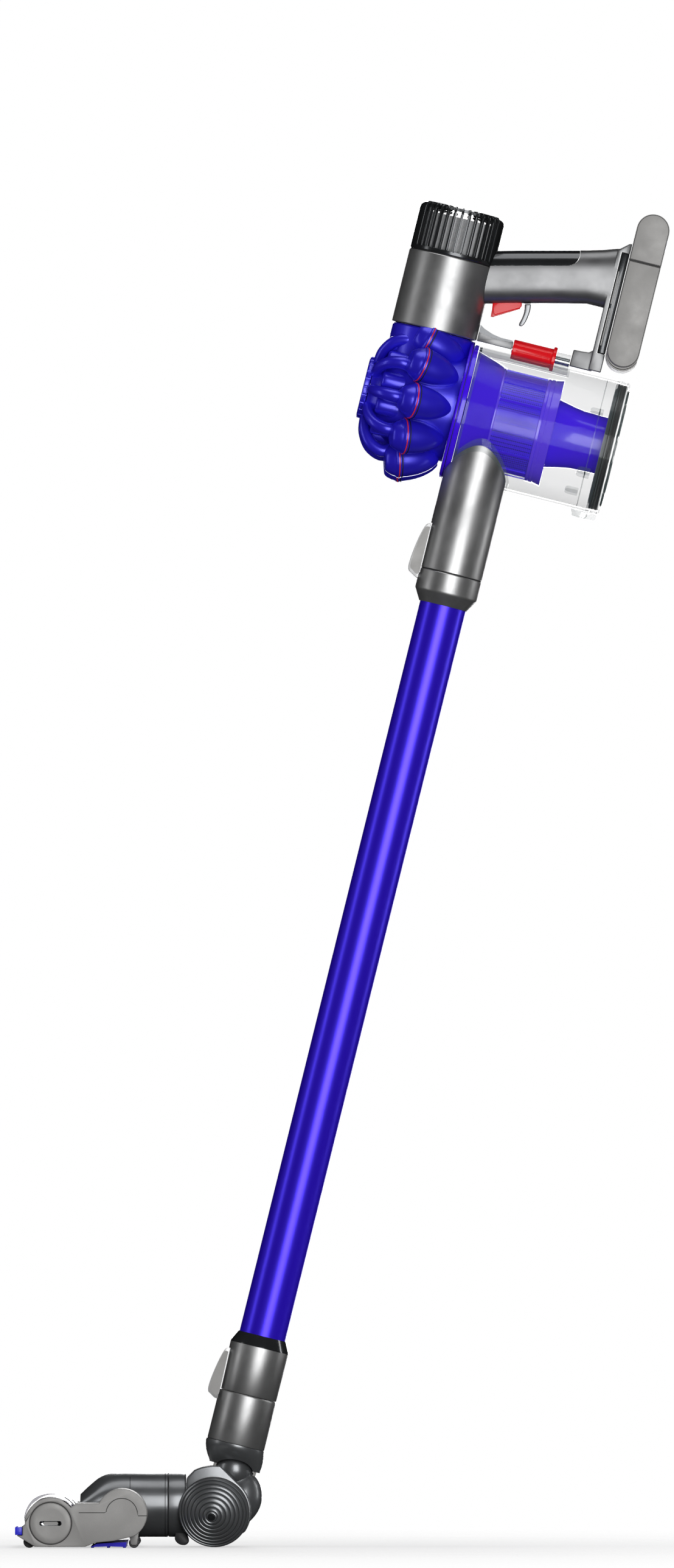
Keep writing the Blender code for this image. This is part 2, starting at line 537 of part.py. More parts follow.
def make_neck(hand, looks):
    sleeve = [(24.5, SOCKET_JOINT - GAP), (24.4, NECK_LOW), (18.0, NECK_LOW), (17.0, -612.0)]
    sleeve += [(17.0, -548.0), (PLUG_RADIUS, -548.0), (PLUG_RADIUS, SOCKET_JOINT - GAP)]
    turned("neck_sleeve", sleeve, looks["nickel"], hand, "z", (0, 0, 0), True, 28)
    top = NECK_LOW - GAP
    rings = [
        circle(25.0, top, "z", (0, 0, 0), 32),
        circle(24.6, -628.0, "z", (1.4, 0, 0), 32, 21.5),
        circle(21.8, -637.5, "z", (3.8, 0, 0), 32, 13.0),
    ]
    points, faces = skin(rings, False)
    yoke = make_object("swivel_yoke", points, faces, looks["gloss"], hand)
    cavity = ball("yoke_cavity", (BALL_R, 0, BALL_S + 1), (17.2, 21.5, 17.6), looks["gloss"], hand)
    cut(yoke, cavity)
    cut(yoke, turned("yoke_bore", [(14.5, -616.0), (14.5, -632.0)], looks["gloss"], hand, "z", (BALL_R / 2, 0, 0), False, 20))
    pins = {"swivel_pin_front": (-18.0, -7.0), "swivel_pin_rear": (14.0, 25.2)}
    swing_axis = (0.0, 0.0, SWING_S)
    for name, (front, back) in pins.items():
        turned(name, [(2.3, front), (2.3, back)], looks["metal"], hand, "x", swing_axis, False, 12)
    hole = turned("pin_hole", [(2.65, -30.0), (2.65, 30.0)], looks["metal"], hand, "x", swing_axis, False, 12)
    cut(yoke, hole)
    return hole


def make_elbow(hand, floor, looks, pin_hole):
    """The bent pipe from the yoke to the pitch pivot; its ball swings in the yoke."""
    ball_x, ball_z = level(BALL_R, BALL_S)
    swing_x, swing_z = level(BALL_R, SWING_S)
    origin = (swing_x, 0.0, swing_z)
    path = [(-93.0, 66.0), (-89.0, 58.5), (-84.6, 49.0), (-86.0, 40.0), (-94.0, 31.0)]
    radii = [11.6, 11.8, 16.4, 17.6, 17.0]
    rings = []
    for i, ((x, z), radius) in enumerate(zip(path, radii)):
        before, after = path[max(i - 1, 0)], path[min(i + 1, len(path) - 1)]
        along = Vector((after[0] - before[0], 0.0, after[1] - before[1])).normalized()
        side = Vector((-along.z, 0.0, along.x))
        ring = []
        for k in range(24):
            angle = 2 * math.pi * k / 24
            spot = Vector((x, 0.0, z)) + radius * (math.cos(angle) * side + Vector((0, math.sin(angle), 0)))
            ring.append(tuple(spot))
        rings.append(ring)
    points, faces = skin(rings, False)
    elbow = make_object("elbow_pipe", points, faces, looks["gloss"], floor, origin=origin)
    join(elbow, ball("elbow_ball", (ball_x, 0, ball_z), [BALL_RADIUS] * 3, looks["gloss"], floor))
    drum = [(21.0, -18.7), (21.0, 18.7)]
    join(elbow, turned("elbow_drum", drum, looks["gloss"], floor, "y", (PIVOT[0], 0, PIVOT[2]), False, 32))
    heel = [(19.0, -17.0), (20.5, -15.5), (20.5, 15.5), (19.0, 17.0)]
    join(elbow, turned("elbow_heel", heel, looks["gloss"], floor, "y", (-97.4, 0, 30.1), False, 28))
    bore = [(3.4, -30.0), (3.4, 30.0)]
    cut(elbow, turned("elbow_bore", bore, looks["gloss"], floor, "y", (PIVOT[0], 0, PIVOT[2]), False, 16))
    cut(elbow, pin_hole)


def make_carriage(floor, looks):
    centre = (PIVOT[0], PIVOT[2])
    outline = arc(centre, 31.0, -35, 50, 8) + arc(centre, 38.5, 80, 118, 4)
    outline += [(-131.6, 58.0), (-131.6, 12.0), (-124.0, 6.0)] + arc(centre, 26.5, -110, -50, 5)
    carriage = prism("pivot_carriage", outline, -CHEEK_OUT, CHEEK_OUT, looks["gloss"], floor, origin=PIVOT)
    channel_y = (-CHEEK_IN, CHEEK_IN)
    cut(carriage, slab("carriage_channel", (-129.9, -60), channel_y, (-20, 90), looks["gloss"], floor))
    airway = [(15.0, -140.0), (15.0, -120.0)]
    cut(carriage, turned("carriage_airway", airway, looks["gloss"], floor, "x", (0, 0, COLLAR_Z), False, 24))
    hole = [(5.6, -40.0), (5.6, 40.0)]
    cut(carriage, turned("carriage_hole", hole, looks["gloss"], floor, "y", (PIVOT[0], 0, PIVOT[2]), False, 16))
    ring = [(COLLAR_R, COLLAR_FRONT), (COLLAR_R, COLLAR_BACK), (17.0, COLLAR_BACK), (17.0, COLLAR_FRONT)]
    turned("swivel_collar", ring, looks["gloss"], floor, "x", (0, 0, COLLAR_Z), True, 28)
    axle = turned("wheel_axle", [(3.0, -24.0), (3.0, 24.0)], looks["metal"], floor, "y", (PIVOT[0], 0, PIVOT[2]), False, 12)
    for side in (-1, 1):
        outward = Vector((WHEEL_AXIS[0], side * WHEEL_AXIS[1], WHEEL_AXIS[2])).normalized()
        centre3 = Vector((PIVOT[0], side * WHEEL_Y, WHEEL_Z))
        start, end = centre3 - 9.0 * outward, centre3 + 20.0 * outward
        shape = [(0.0, 2.9), (1.0, 2.9)]
        join(axle, spindle(f"axle_stub_{side + 1}", start, end, shape, looks["metal"], floor, 12))
        wheel = [(3.3, 0.0), (WHEEL_RADIUS, 0.0), (WHEEL_RADIUS, 3.0), (28.2, 5.6), (22.0, 11.5)]
        wheel += [(13.5, 18.0), (6.0, 23.4), (3.3, 24.0)]
        name = "wheel_left" if side < 0 else "wheel_right"
        rings = [circle(radius, height, "z", (0, 0, 0), 36) for radius, height in wheel]
        points, faces = skin(rings, True)
        made = make_object(name, points, faces, looks["gloss"], floor)
        made.location = centre3 * MM
        made.rotation_euler = outward.to_track_quat("Z", "Y").to_euler()


def head_outline():
    """The floor head's side outline, as (x, z): front lip, brush arch, step, rear arch, sole."""
    front, rear = (BRUSH_X, BRUSH_Z), (REAR_X, REAR_Z)
    outline = [(-272.8, 10.5), (-267.9, 10.5), (-267.9, 18.4)] + arc(front, 21.5, 184, 38, 14)
    outline += [(-223.0, 37.5)] + arc(rear, REAR_RADIUS, 154.8, -62, 18)
    outline += [(-192.0, 6.0), (-206.5, 4.6), (-215.6, 1.2), (-257.9, 1.2)]
    return outline


def make_head(floor, looks):
    base = prism("head_base", head_outline(), -HEAD_HALF, HEAD_HALF, looks["satin"], floor)
    brush = (BRUSH_X, 0, BRUSH_Z)
    wall_y = HEAD_HALF - 3.0
    chamber = [(CHAMBER_RADIUS, -wall_y), (CHAMBER_RADIUS, wall_y)]
    cut(base, turned("brush_chamber", chamber, looks["satin"], floor, "y", brush, False, 28))
    cut(base, slab("sole_mouth", (-261.0, -229.0), (-wall_y, wall_y), (-4, 14), looks["satin"], floor))
    rear = (MOTOR_X, 0, MOTOR_Z)
    cut(base, turned("motor_room", [(14.4, 38.0), (14.4, 130.0)], looks["satin"], floor, "y", rear, False, 24))
    cut(base, turned("side_room", [(14.4, -130.0), (14.4, -38.0)], looks["satin"], floor, "y", rear, False, 24))
    belt_room = [(MOTOR_X, MOTOR_Z + 8.0), (BRUSH_X, BRUSH_Z + 10.8), (BRUSH_X, BRUSH_Z - 10.8), (MOTOR_X, MOTOR_Z - 8.0)]
    cut(base, prism("belt_room", belt_room, 104.0, wall_y, looks["satin"], floor))
    for side in (-1, 1):
        journal = sorted((side * 115.0, side * 130.0))
        shape = [(4.0, journal[0]), (4.0, journal[1])]
        cut(base, turned(f"journal_hole_{side + 1}", shape, looks["satin"], floor, "y", brush, False, 16))
        room = sorted((side * 103.0, side * 113.0))
        shape = [(5.8, room[0]), (5.8, room[1])]
        cut(base, turned(f"roller_room_{side + 1}", shape, looks["satin"], floor, "y", (-262.4, 0, 5.2), False, 20))
        for edge in (102.0, 113.4):
            y = sorted((side * edge, side * (edge + 2.2)))
            lug = [(-178.4, 13.0), (-177.0, 2.6), (-172.8, 2.6), (-171.0, 14.0)]
            join(base, prism(f"roller_lug_{side}_{edge}", lug, *y, looks["satin"], floor))
    cut(base, make_duct("duct_room", floor, looks, GAP))
    window = arc((BRUSH_X, BRUSH_Z), 25.1, 176, 30, 20) + arc((BRUSH_X, BRUSH_Z), 22.2, 30, 176, 20)
    glass = prism("brush_window", window, -HEAD_HALF, HEAD_HALF, looks["smoke"], floor)
    window_room = arc((BRUSH_X, BRUSH_Z), 26.5, 177, 29, 20) + arc((BRUSH_X, BRUSH_Z), 21.9, 29, 177, 20)
    cut(base, prism("window_room", window_room, -130, 130, looks["satin"], floor))
    cut(glass, make_duct("glass_duct_room", floor, looks, GAP))
    plate = prism("end_cap_left", head_outline(), -CAP_HALF, -HEAD_HALF - GAP, looks["satin"], floor)
    lock_hole = [(17.8, -130.0), (17.8, -118.0)]
    cut(plate, turned("lock_hole", lock_hole, looks["satin"], floor, "y", brush, False, 32))
    prism("end_cap_right", head_outline(), HEAD_HALF + GAP, CAP_HALF, looks["satin"], floor)
    lock_shape = [(17.4, -122.0), (17.4, -124.4), (16.8, -CAP_HALF)]
    lock = turned("end_cap_lock", lock_shape, looks["satin"], floor, "y", brush, False, 32, origin=brush)
    cut(lock, slab("lock_slot", (BRUSH_X - 9.2, BRUSH_X + 9.2), (-130, -124), (18.9, 22.4), looks["satin"], floor))
    bumper = slab("front_bumper", (-274.4, -268.3), (-123.0, 123.0), (10.9, 17.6), looks["blue"], floor)
    soften(bumper, 1.2, 2)
    strip = [(-211.0, 0.4), (-182.0, 0.4), (-181.0, 5.0), (-190.0, 4.6), (-206.2, 3.6)]
    prism("sole_strip", strip, -118, 118, looks["felt"], floor)


def make_duct(name, floor, looks, extra):
    """The air duct's outside, grown by extra: round at the back, wide and low at the front."""
    sections = [(-147.4, 27.0, 27.0, COLLAR_Z), (-190.0, 27.0, 27.0, COLLAR_Z), (-203.0, 29.0, 24.0, 35.0)]
    sections += [(-213.0, 32.5, 17.4, 34.0), (-220.6, 36.0, 10.8, 33.4)]
    rings = []
    if extra:
        sections = [(-130.0, *sections[0][1:]), *sections, (-228.0, *sections[-1][1:])]
    for x, wide, high, z in sections:
        rings.append(circle(wide + extra, x, "x", (0, 0, z), 32, high + extra))
    if extra:
        points, faces = skin(rings, False)
        return make_object(name, points, faces, looks["gunmetal"], floor)
    for x, wide, high, z in reversed(sections):
        rings.append(circle(wide - 2.2, x, "x", (0, 0, z), 32, high - 2.2))
    points, faces = skin(rings, True)
    return make_object(name, points, faces, looks["gloss"], floor, origin=(COLLAR_FRONT, 0, COLLAR_Z))


def make_brush(floor, looks):
    brush = (BRUSH_X, 0, BRUSH_Z)
    shape = [(3.7, -120.8), (3.7, -117.2), (14.0, -116.8), (14.0, -103.2), (BRUSH_RADIUS, -102.6)]
    shape += [(BRUSH_RADIUS, 102.6), (12.0, 103.2), (BRUSH_PULLEY, 104.6), (BRUSH_PULLEY, 117.0), (3.7, 117.4), (3.7, 120.8)]
    turned("brush_bar", shape, looks["brush"], floor, "y", brush, False, 28, origin=brush)
    rear = (MOTOR_X, 0, MOTOR_Z)
    turned("brush_motor", [(12.6, 42.0), (13.8, 43.0), (13.8, 96.0), (9.0, 99.0)], looks["metal"], floor, "y", rear, False, 24)
    pulley = [(1.6, 99.6), (1.6, 104.6), (MOTOR_PULLEY, 105.0), (MOTOR_PULLEY, 116.0)]
    turned("motor_pulley", pulley, looks["metal"], floor, "y", rear, False, 16, origin=rear)
    outer, inner = belt_loop(1.6), belt_loop(0.4)
    rings = []
    for (ax, az), (bx, bz) in zip(outer, inner):
        rings.append([(ax, 106.0, az), (ax, 114.5, az), (bx, 114.5, bz), (bx, 106.0, bz)])
    points, faces = skin(rings, True)
    make_object("drive_belt", points, faces, looks["rubber"], floor)
    for side in (-1, 1):
        end = "left" if side < 0 else "right"
        y = sorted((side * 105.0, side * 112.8))
        centre = (-174.9, 0, 4.4)
        shape = [(3.6, y[0]), (4.3, y[0] + 1), (4.3, y[1] - 1), (3.6, y[1])]
        turned(f"rear_roller_{end}", shape, looks["black"], floor, "y", centre, False, 16, origin=centre)
        y = sorted((side * 103.6, side * 112.4))
        centre = (-262.4, 0, 5.2)
        shape = [(4.3, y[0]), (5.0, y[0] + 1), (5.0, y[1] - 1), (4.3, y[1])]
        turned(f"front_roller_{end}", shape, looks["black"], floor, "y", centre, False, 16, origin=centre)


def belt_loop(offset):
    """The belt's path around the motor pulley and the brush pulley, in the x-z plane."""
    big, small = BRUSH_PULLEY + offset, MOTOR_PULLEY + offset
    span = Vector((MOTOR_X - BRUSH_X, MOTOR_Z - BRUSH_Z))
    tilt = math.degrees(math.atan2(span.y, span.x))
    wrap = math.degrees(math.acos((big - small) / span.length))
    around_big = arc((BRUSH_X, BRUSH_Z), big, tilt + wrap, tilt + 360 - wrap, 18)
    around_small = arc((MOTOR_X, MOTOR_Z), small, tilt - wrap, tilt + wrap, 8)
    return around_big + around_small


def main():
    clear_scene()
    looks = {
        "nickel": make_look("nickel_plastic", NICKEL, 0.8, 0.28),
        "gunmetal": make_look("gunmetal_plastic", GUNMETAL, 0.7, 0.25),
        "grey": make_look("handle_grey", NICKEL, 0.6, 0.35),
        "satin": make_look("satin_grey", SATIN, 0.4, 0.42),
        "gloss": make_look("gloss_black", GUNMETAL, 0.6, 0.15),
        "black": make_look("black_plastic", BLACK, 0.0, 0.5),
        "rubber": make_look("black_rubber", BLACK, 0.0, 0.7),
        "metal": make_look("plain_steel", NICKEL, 1.0, 0.3),
        "blue": make_look("blue_plastic", BLUE, 0.2, 0.3),
        "violet": make_look("violet_plastic", (0.1, 0.06, 0.7), 0.0, 0.2, 0.85),
        "blue_metal": make_look("blue_anodised", BLUE, 0.9, 0.25),
        "red": make_look("red_plastic", RED, 0.0, 0.25),
        "clear": make_look("clear_plastic", CLEAR, 0.0, 0.05, 0.3),
        "smoke": make_look("smoke_plastic", (0.05, 0.05, 0.06), 0.0, 0.1, 0.6),
        "filter": make_look("filter_fleece", (0.8, 0.8, 0.8), 0.0, 0.9),
        "felt": make_look("blue_felt", (0.03, 0.03, 0.75), 0.0, 0.95),
        "brush": make_look("brush_bristle", (0.05, 0.05, 0.4), 0.0, 0.8),
        "board": make_look("circuit_board", (0.02, 0.2, 0.08), 0.0, 0.5),
    }
    hand = make_frame("wand_frame", WAND_POINT, lean)
    floor = make_frame("floor_frame", (0.0, 0.0, 0.0), 0.0)
    make_motor(hand, looks)
    make_exhaust(hand, looks)
    make_cyclones(hand, looks)
    make_shroud(hand, looks)
    make_filter_stick(hand, looks)
    make_rail(hand, looks)
    make_bin(hand, looks)
    make_lid(hand, looks)
    make_inlet(hand, looks)
    make_handle(hand, floor, looks)
    make_trigger(hand, floor, looks)
    make_battery(hand, looks)
    make_wand(hand, looks)
    pin_hole = make_neck(hand, looks)
    make_elbow(hand, floor, looks, pin_hole)
    make_carriage(floor, looks)
    make_head(floor, looks)
    make_duct("duct_pipe", floor, looks, 0.0)
    make_brush(floor, looks)


main()
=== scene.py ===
"""The looks of the cordless stick vacuum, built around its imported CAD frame.

Shapes are written in millimetres. Wand pieces are written in the wand's own frame: x = r, square
to the wand and to the rear, y across, z = s, up along the wand. Floor pieces are written in the
row's frame, whose floor is z = 0.
"""

import math

import bpy
import bmesh
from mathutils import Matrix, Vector


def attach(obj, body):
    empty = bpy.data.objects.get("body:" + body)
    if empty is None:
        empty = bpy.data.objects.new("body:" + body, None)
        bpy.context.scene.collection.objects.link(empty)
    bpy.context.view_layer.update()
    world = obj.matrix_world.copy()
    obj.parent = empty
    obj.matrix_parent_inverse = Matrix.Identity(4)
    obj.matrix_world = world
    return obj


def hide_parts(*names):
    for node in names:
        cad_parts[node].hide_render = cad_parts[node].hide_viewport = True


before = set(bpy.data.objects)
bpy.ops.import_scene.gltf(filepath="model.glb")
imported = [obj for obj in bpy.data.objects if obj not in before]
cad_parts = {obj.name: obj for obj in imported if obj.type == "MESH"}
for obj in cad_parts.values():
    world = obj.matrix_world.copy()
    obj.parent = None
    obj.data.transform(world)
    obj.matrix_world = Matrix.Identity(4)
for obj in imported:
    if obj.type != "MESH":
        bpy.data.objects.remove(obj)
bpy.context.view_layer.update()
MM = 0.001
LEAN = math.radians(13.9)
COS, SIN = (math.cos(LEAN), math.sin(LEAN))
WAND_X, WAND_Z = (58.3, 686.4)
HAND_Y = 25
MOTOR_R = -63
BIN_S = 270.6
RAIL_S = 331.5
PIVOT = (-108.2, 0, 29.8)
BRUSH_X, BRUSH_Z = (-244.6, 20.7)
REAR_X, REAR_Z = (-185.1, 28.5)
COLLAR_Z = 35.3
CONE_STEP = 360 / 11
FIRST_CONE = -87
FLOOR_RADIUS = 120
CAMERA_AT = (-0.0051, -23.42, 0.2319)
CAMERA_TILT = 91
CAMERA_LENS = 640
CAMERA_REACH = 500


# ---------------- materials

def node(tree, kind, **values):
    made = tree.nodes.new(kind)
    for name, value in values.items():
        if hasattr(made, name):
            setattr(made, name, value)
        else:
            made.inputs[name.replace('_', ' ')].default_value = value
    return made


def coordinates(tree, stretch=(1, 1, 1), leaning=False):
    """Object coordinates, turned into the wand's frame if leaning, and stretched."""
    source = tree.nodes.new('ShaderNodeTexCoord').outputs['Object']
    mapping = tree.nodes.new('ShaderNodeMapping')
    mapping.vector_type = 'TEXTURE'
    mapping.inputs['Rotation'].default_value = (0, LEAN if leaning else 0, 0)
    mapping.inputs['Scale'].default_value = stretch
    tree.links.new(source, mapping.inputs['Vector'])
    return mapping.outputs['Vector']


def noise(tree, vector, scale, detail=3, rough=0.55):
    made = node(tree, 'ShaderNodeTexNoise', Scale=scale, Detail=detail, Roughness=rough)
    tree.links.new(vector, made.inputs['Vector'])
    return made.outputs['Fac']


def ramp(tree, value, stops):
    """A colour ramp; stops are (position, colour) with three or one number each."""
    made = tree.nodes.new('ShaderNodeValToRGB')
    band = made.color_ramp
    while len(band.elements) < len(stops):
        band.elements.new(0.5)
    for element, (place, color) in zip(band.elements, stops):
        element.position = place
        rgb = color if isinstance(color, tuple) else (color, color, color)
        element.color = (*rgb, 1)
    tree.links.new(value, made.inputs['Fac'])
    return made.outputs['Color']


def add_bump(tree, shader, height, strength, distance=0.0004):
    made = node(tree, 'ShaderNodeBump', Strength=strength, Distance=distance)
    tree.links.new(height, made.inputs['Height'])
    tree.links.new(made.outputs['Normal'], shader.inputs['Normal'])


def start(name):
    look = bpy.data.materials.new(name)
    look.use_nodes = True
    return (look, look.node_tree, look.node_tree.nodes['Principled BSDF'])


def tinted(color, share):
    return tuple((min(1, channel * share) for channel in color))


def moulded(name, color, metallic, rough, grain=900, depth=0.1, vary=0.1, coat=0, fleck=0, leaning=False,
        coat_rough=0.08, sheen=0):
    """Moulded or painted plastic: cloudy tone, fine grain, worn roughness and optional flakes."""
    look, tree, shader = start(name)
    where = coordinates(tree, leaning=leaning)
    cloud = noise(tree, where, 22, 4)
    base = ramp(tree, cloud, [(0.3, tinted(color, 1 - vary)), (0.7, tinted(color, 1 + vary))])
    if fleck:
        spots = node(tree, 'ShaderNodeTexVoronoi', Scale=2600)
        tree.links.new(where, spots.inputs['Vector'])
        glint = ramp(tree, spots.outputs['Distance'], [(0, 1 + fleck), (0.45, 1)])
        mix = tree.nodes.new('ShaderNodeMix')
        mix.data_type, mix.blend_type = ('RGBA', 'MULTIPLY')
        mix.inputs['Factor'].default_value = 1
        tree.links.new(base, mix.inputs[6])
        tree.links.new(glint, mix.inputs[7])
        base = mix.outputs[2]
    tree.links.new(base, shader.inputs['Base Color'])
    smear = noise(tree, where, 60, 5)
    tree.links.new(ramp(tree, smear, [(0.25, rough * 0.85), (0.8, rough * 1.2)]),
        shader.inputs['Roughness'])
    add_bump(tree, shader, noise(tree, where, grain, 2), depth, 0.0002)
    shader.inputs['Metallic'].default_value = metallic
    shader.inputs['Coat Weight'].default_value = coat
    shader.inputs['Coat Roughness'].default_value = coat_rough
    if sheen:
        shader.inputs['Sheen Weight'].default_value = sheen
    look.diffuse_color = (*color, 1)
    return look


def see_through(name, color, face_alpha, edge_alpha, rough=0.04, edge_color=None, painted_glow=0, gloss=0.4):
    """Clear or tinted plastic, thin to look through and denser where it turns away, with an optional
    painted glow.
    """
    look, tree, shader = start(name)
    where = coordinates(tree)
    turn = node(tree, 'ShaderNodeLayerWeight', Blend=0.35)
    middle_alpha = face_alpha + 0.12 * (edge_alpha - face_alpha)
    alpha = ramp(tree, turn.outputs['Facing'], [(0.05, face_alpha), (0.7, middle_alpha),
        (0.96, edge_alpha)])
    tree.links.new(alpha, shader.inputs['Alpha'])
    smear = noise(tree, where, 35, 4)
    tree.links.new(ramp(tree, smear, [(0.3, rough * 0.7), (0.8, rough * 1.6)]),
        shader.inputs['Roughness'])
    edge = edge_color or tinted(color, 0.35)
    base = ramp(tree, turn.outputs['Facing'], [(0.3, color), (0.95, edge)])
    tree.links.new(base, shader.inputs['Base Color'])
    add_bump(tree, shader, noise(tree, where, 40, 2), 0.03, 0.0004)
    shader.inputs['IOR'].default_value = 1.5
    shader.inputs['Specular IOR Level'].default_value = gloss
    shader.inputs['Coat Weight'].default_value = gloss
    shader.inputs['Coat Roughness'].default_value = 0.05
    # painted light: the tinted plastic glows faintly by itself, though nothing lights it from inside
    if painted_glow:
        shader.inputs['Emission Color'].default_value = (*color, 1)
        shader.inputs['Emission Strength'].default_value = painted_glow
    look.diffuse_color = (*color, 0.4)
    return look


def woven(name, color, scale, depth=0.6, sheen=0.4):
    """Felt, fleece and pile: crossed fibres with a soft sheen."""
    look, tree, shader = start(name)
    along = noise(tree, coordinates(tree, (1, 0.12, 1)), scale, 6, 0.7)
    across = noise(tree, coordinates(tree, (0.12, 1, 1)), scale, 6, 0.7)
    mix = tree.nodes.new('ShaderNodeMix')
    mix.inputs['Factor'].default_value = 0.5
    tree.links.new(along, mix.inputs[2])
    tree.links.new(across, mix.inputs[3])
    base = ramp(tree, mix.outputs[0], [(0.3, tinted(color, 0.55)), (0.7, tinted(color, 1.35))])
    tree.links.new(base, shader.inputs['Base Color'])
    add_bump(tree, shader, mix.outputs[0], depth, 0.0006)
    shader.inputs['Roughness'].default_value = 0.9
    shader.inputs['Sheen Weight'].default_value = sheen
    look.diffuse_color = (*color, 1)
    return look


def anodised():
    """The wand: blue-violet anodised aluminium, drawn along its length."""
    look, tree, shader = start('wand_anodised')
    where = coordinates(tree, (1, 1, 24), True)
    cloud = noise(tree, where, 90, 3)
    base = ramp(tree, cloud, [(0.25, (0.04, 0.009, 0.8)), (0.75, (0.046, 0.012, 0.88))])
    tree.links.new(base, shader.inputs['Base Color'])
    lines = noise(tree, where, 900, 3)
    tree.links.new(ramp(tree, lines, [(0.3, 0.3), (0.75, 0.34)]), shader.inputs['Roughness'])
    add_bump(tree, shader, lines, 0.015, 0.0001)
    shader.inputs['Metallic'].default_value = 0.55
    shader.inputs['Coat Weight'].default_value = 0.25
    shader.inputs['Coat Roughness'].default_value = 0.32
    shader.inputs['Coat Tint'].default_value = (0.75, 0.7, 1, 1)
    look.diffuse_color = (0.05, 0.02, 0.8, 1)
    return look


def perforated(name, color):
    """The shroud's fine sieve: rows of small round holes in translucent plastic, each hole painted dark
    as painted shade for the shaded inside seen through it.
    """
    look, tree, shader = start(name)
    holes = node(tree, 'ShaderNodeTexVoronoi', Scale=620)
    holes.inputs['Randomness'].default_value = 0.05
    tree.links.new(coordinates(tree, (1, 1, 1), True), holes.inputs['Vector'])
    # painted shade: dark at each hole's middle, where the shaded inside would be seen, with the plastic
    # between the holes paler
    shade = ramp(tree, holes.outputs['Distance'], [(0.22, tinted(color, 0.25)),
        (0.42, tinted(color, 1.6))])
    tree.links.new(shade, shader.inputs['Base Color'])
    tree.links.new(ramp(tree, holes.outputs['Distance'], [(0.22, 0.9), (0.42, 0.98)]),
        shader.inputs['Alpha'])
    tree.links.new(ramp(tree, noise(tree, coordinates(tree), 50), [(0.3, 0.28), (0.8, 0.42)]),
        shader.inputs['Roughness'])
    add_bump(tree, shader, holes.outputs['Distance'], 0.3, 0.0003)
    look.diffuse_color = (*color, 1)
    return look
LOOKS = {
    'nickel': moulded('nickel_paint', (0.4, 0.402, 0.404), 0.88, 0.4, 900, 0.02, 0.03, fleck=0.05,
        leaning=True),
    'gunmetal': moulded('gunmetal_gloss', (0.055, 0.058, 0.062), 0.75, 0.22, 900, 0.02, 0.05, coat=0.5),
    'grey': moulded('handle_paint', (0.175, 0.177, 0.18), 0.72, 0.36, 900, 0.03, 0.03, fleck=0.06),
    'satin': moulded('satin_speckle', (0.3, 0.295, 0.288), 0.25, 0.5, 700, 0.1, 0.03, fleck=0.2),
    'gloss': moulded('dark_gloss', (0.185, 0.192, 0.2), 0.72, 0.33, 500, 0.008, 0.03, coat=0.35,
        coat_rough=0.12),
    'black': moulded('black_plastic', (0.018, 0.018, 0.02), 0, 0.45, depth=0.3),
    'line': moulded('seam_black', (0.006, 0.006, 0.007), 0, 0.6, depth=0.3),
    'rubber': moulded('black_rubber', (0.012, 0.012, 0.013), 0, 0.55, 400, 0.5, sheen=0.2),
    'chrome': moulded('chrome_trim', (0.42, 0.43, 0.45), 1, 0.16, depth=0.03, vary=0.04),
    'steel': moulded('plain_steel', (0.45, 0.46, 0.47), 1, 0.3, 1200, 0.15),
    'blue': moulded('cyclone_blue', (0.026, 0.016, 0.66), 0.35, 0.34, 900, 0.03, 0.05, coat=0.5,
        coat_rough=0.22),
    'red_line': moulded('seam_red', (0.8, 0.025, 0.03), 0, 0.35),
    'red': see_through('red_clear', (0.8, 0.008, 0.014), 0.99, 1, 0.22, (0.42, 0, 0.008), painted_glow=0.1,
        gloss=0.22),
    'violet': see_through('violet_clear', (0.055, 0.008, 0.8), 0.985, 1, 0.18, (0.014, 0.002, 0.36),
        painted_glow=0.12, gloss=0.3),
    'pale_violet': see_through('violet_rim', (0.12, 0.05, 0.88), 0.96, 1, 0.15, (0.04, 0.01, 0.5),
        painted_glow=0.12),
    'mesh': perforated('mesh_violet', (0.045, 0.012, 0.62)),
    'cover': moulded('grip_cover_gloss', (0.06, 0.063, 0.067), 0.75, 0.17, coat=0.6),
    'clear': see_through('bin_clear', (0.16, 0.2, 0.2), 0.04, 0.72, 0.03, (0.04, 0.06, 0.06), gloss=0.7),
    'clear_thick': see_through('rim_clear', (0.2, 0.26, 0.26), 0.12, 0.88, 0.04, (0.015, 0.03, 0.03),
        gloss=0.7),
    'smoke': see_through('window_smoke', (0.1, 0.08, 0.16), 0.4, 0.96, 0.05, (0.05, 0.03, 0.12)),
    'filter': woven('filter_fleece', (0.62, 0.63, 0.64), 700),
    'felt': woven('sole_felt', (0.03, 0.02, 0.62), 900, 0.9, 0.6),
    'pile': woven('brush_pile', (0.055, 0.05, 0.3), 800, 1, 0.6),
    'bristle': woven('brush_bristle', (0.02, 0.02, 0.03), 1200, 1, 0.3),
    'board': moulded('circuit_board', (0.02, 0.16, 0.07), 0, 0.4),
    'bumper': moulded('bumper_blue', (0.02, 0.02, 0.7), 0, 0.45, 500, 0.3, coat=0.2),
    'tube': anodised(),
}
SLOTS = {'nickel': 'nickel', 'line': 'black_plastic', 'gunmetal': 'gunmetal', 'filter': 'filter',
    'blue': 'blue_plastic', 'red_line': 'red_plastic', 'violet': 'violet_plastic',
    'pale_violet': 'violet_plastic', 'mesh': 'violet_plastic', 'clear': 'clear_plastic',
    'clear_thick': 'clear_plastic', 'rubber': 'rubber', 'black': 'black_plastic', 'grey': 'handle_grey',
    'chrome': 'steel', 'red': 'red_plastic', 'satin': 'satin_grey', 'cover': 'gunmetal',
    'gloss': 'dark_gloss', 'tube': 'blue_tube', 'smoke': 'smoke_plastic', 'bumper': 'blue_plastic',
    'felt': 'felt', 'pile': 'bristle', 'bristle': 'bristle', 'steel': 'steel'}


# ---------------- mesh helpers

def leaned(point):
    r, y, s = point
    return (WAND_X + r * COS + s * SIN, y, WAND_Z - r * SIN + s * COS)


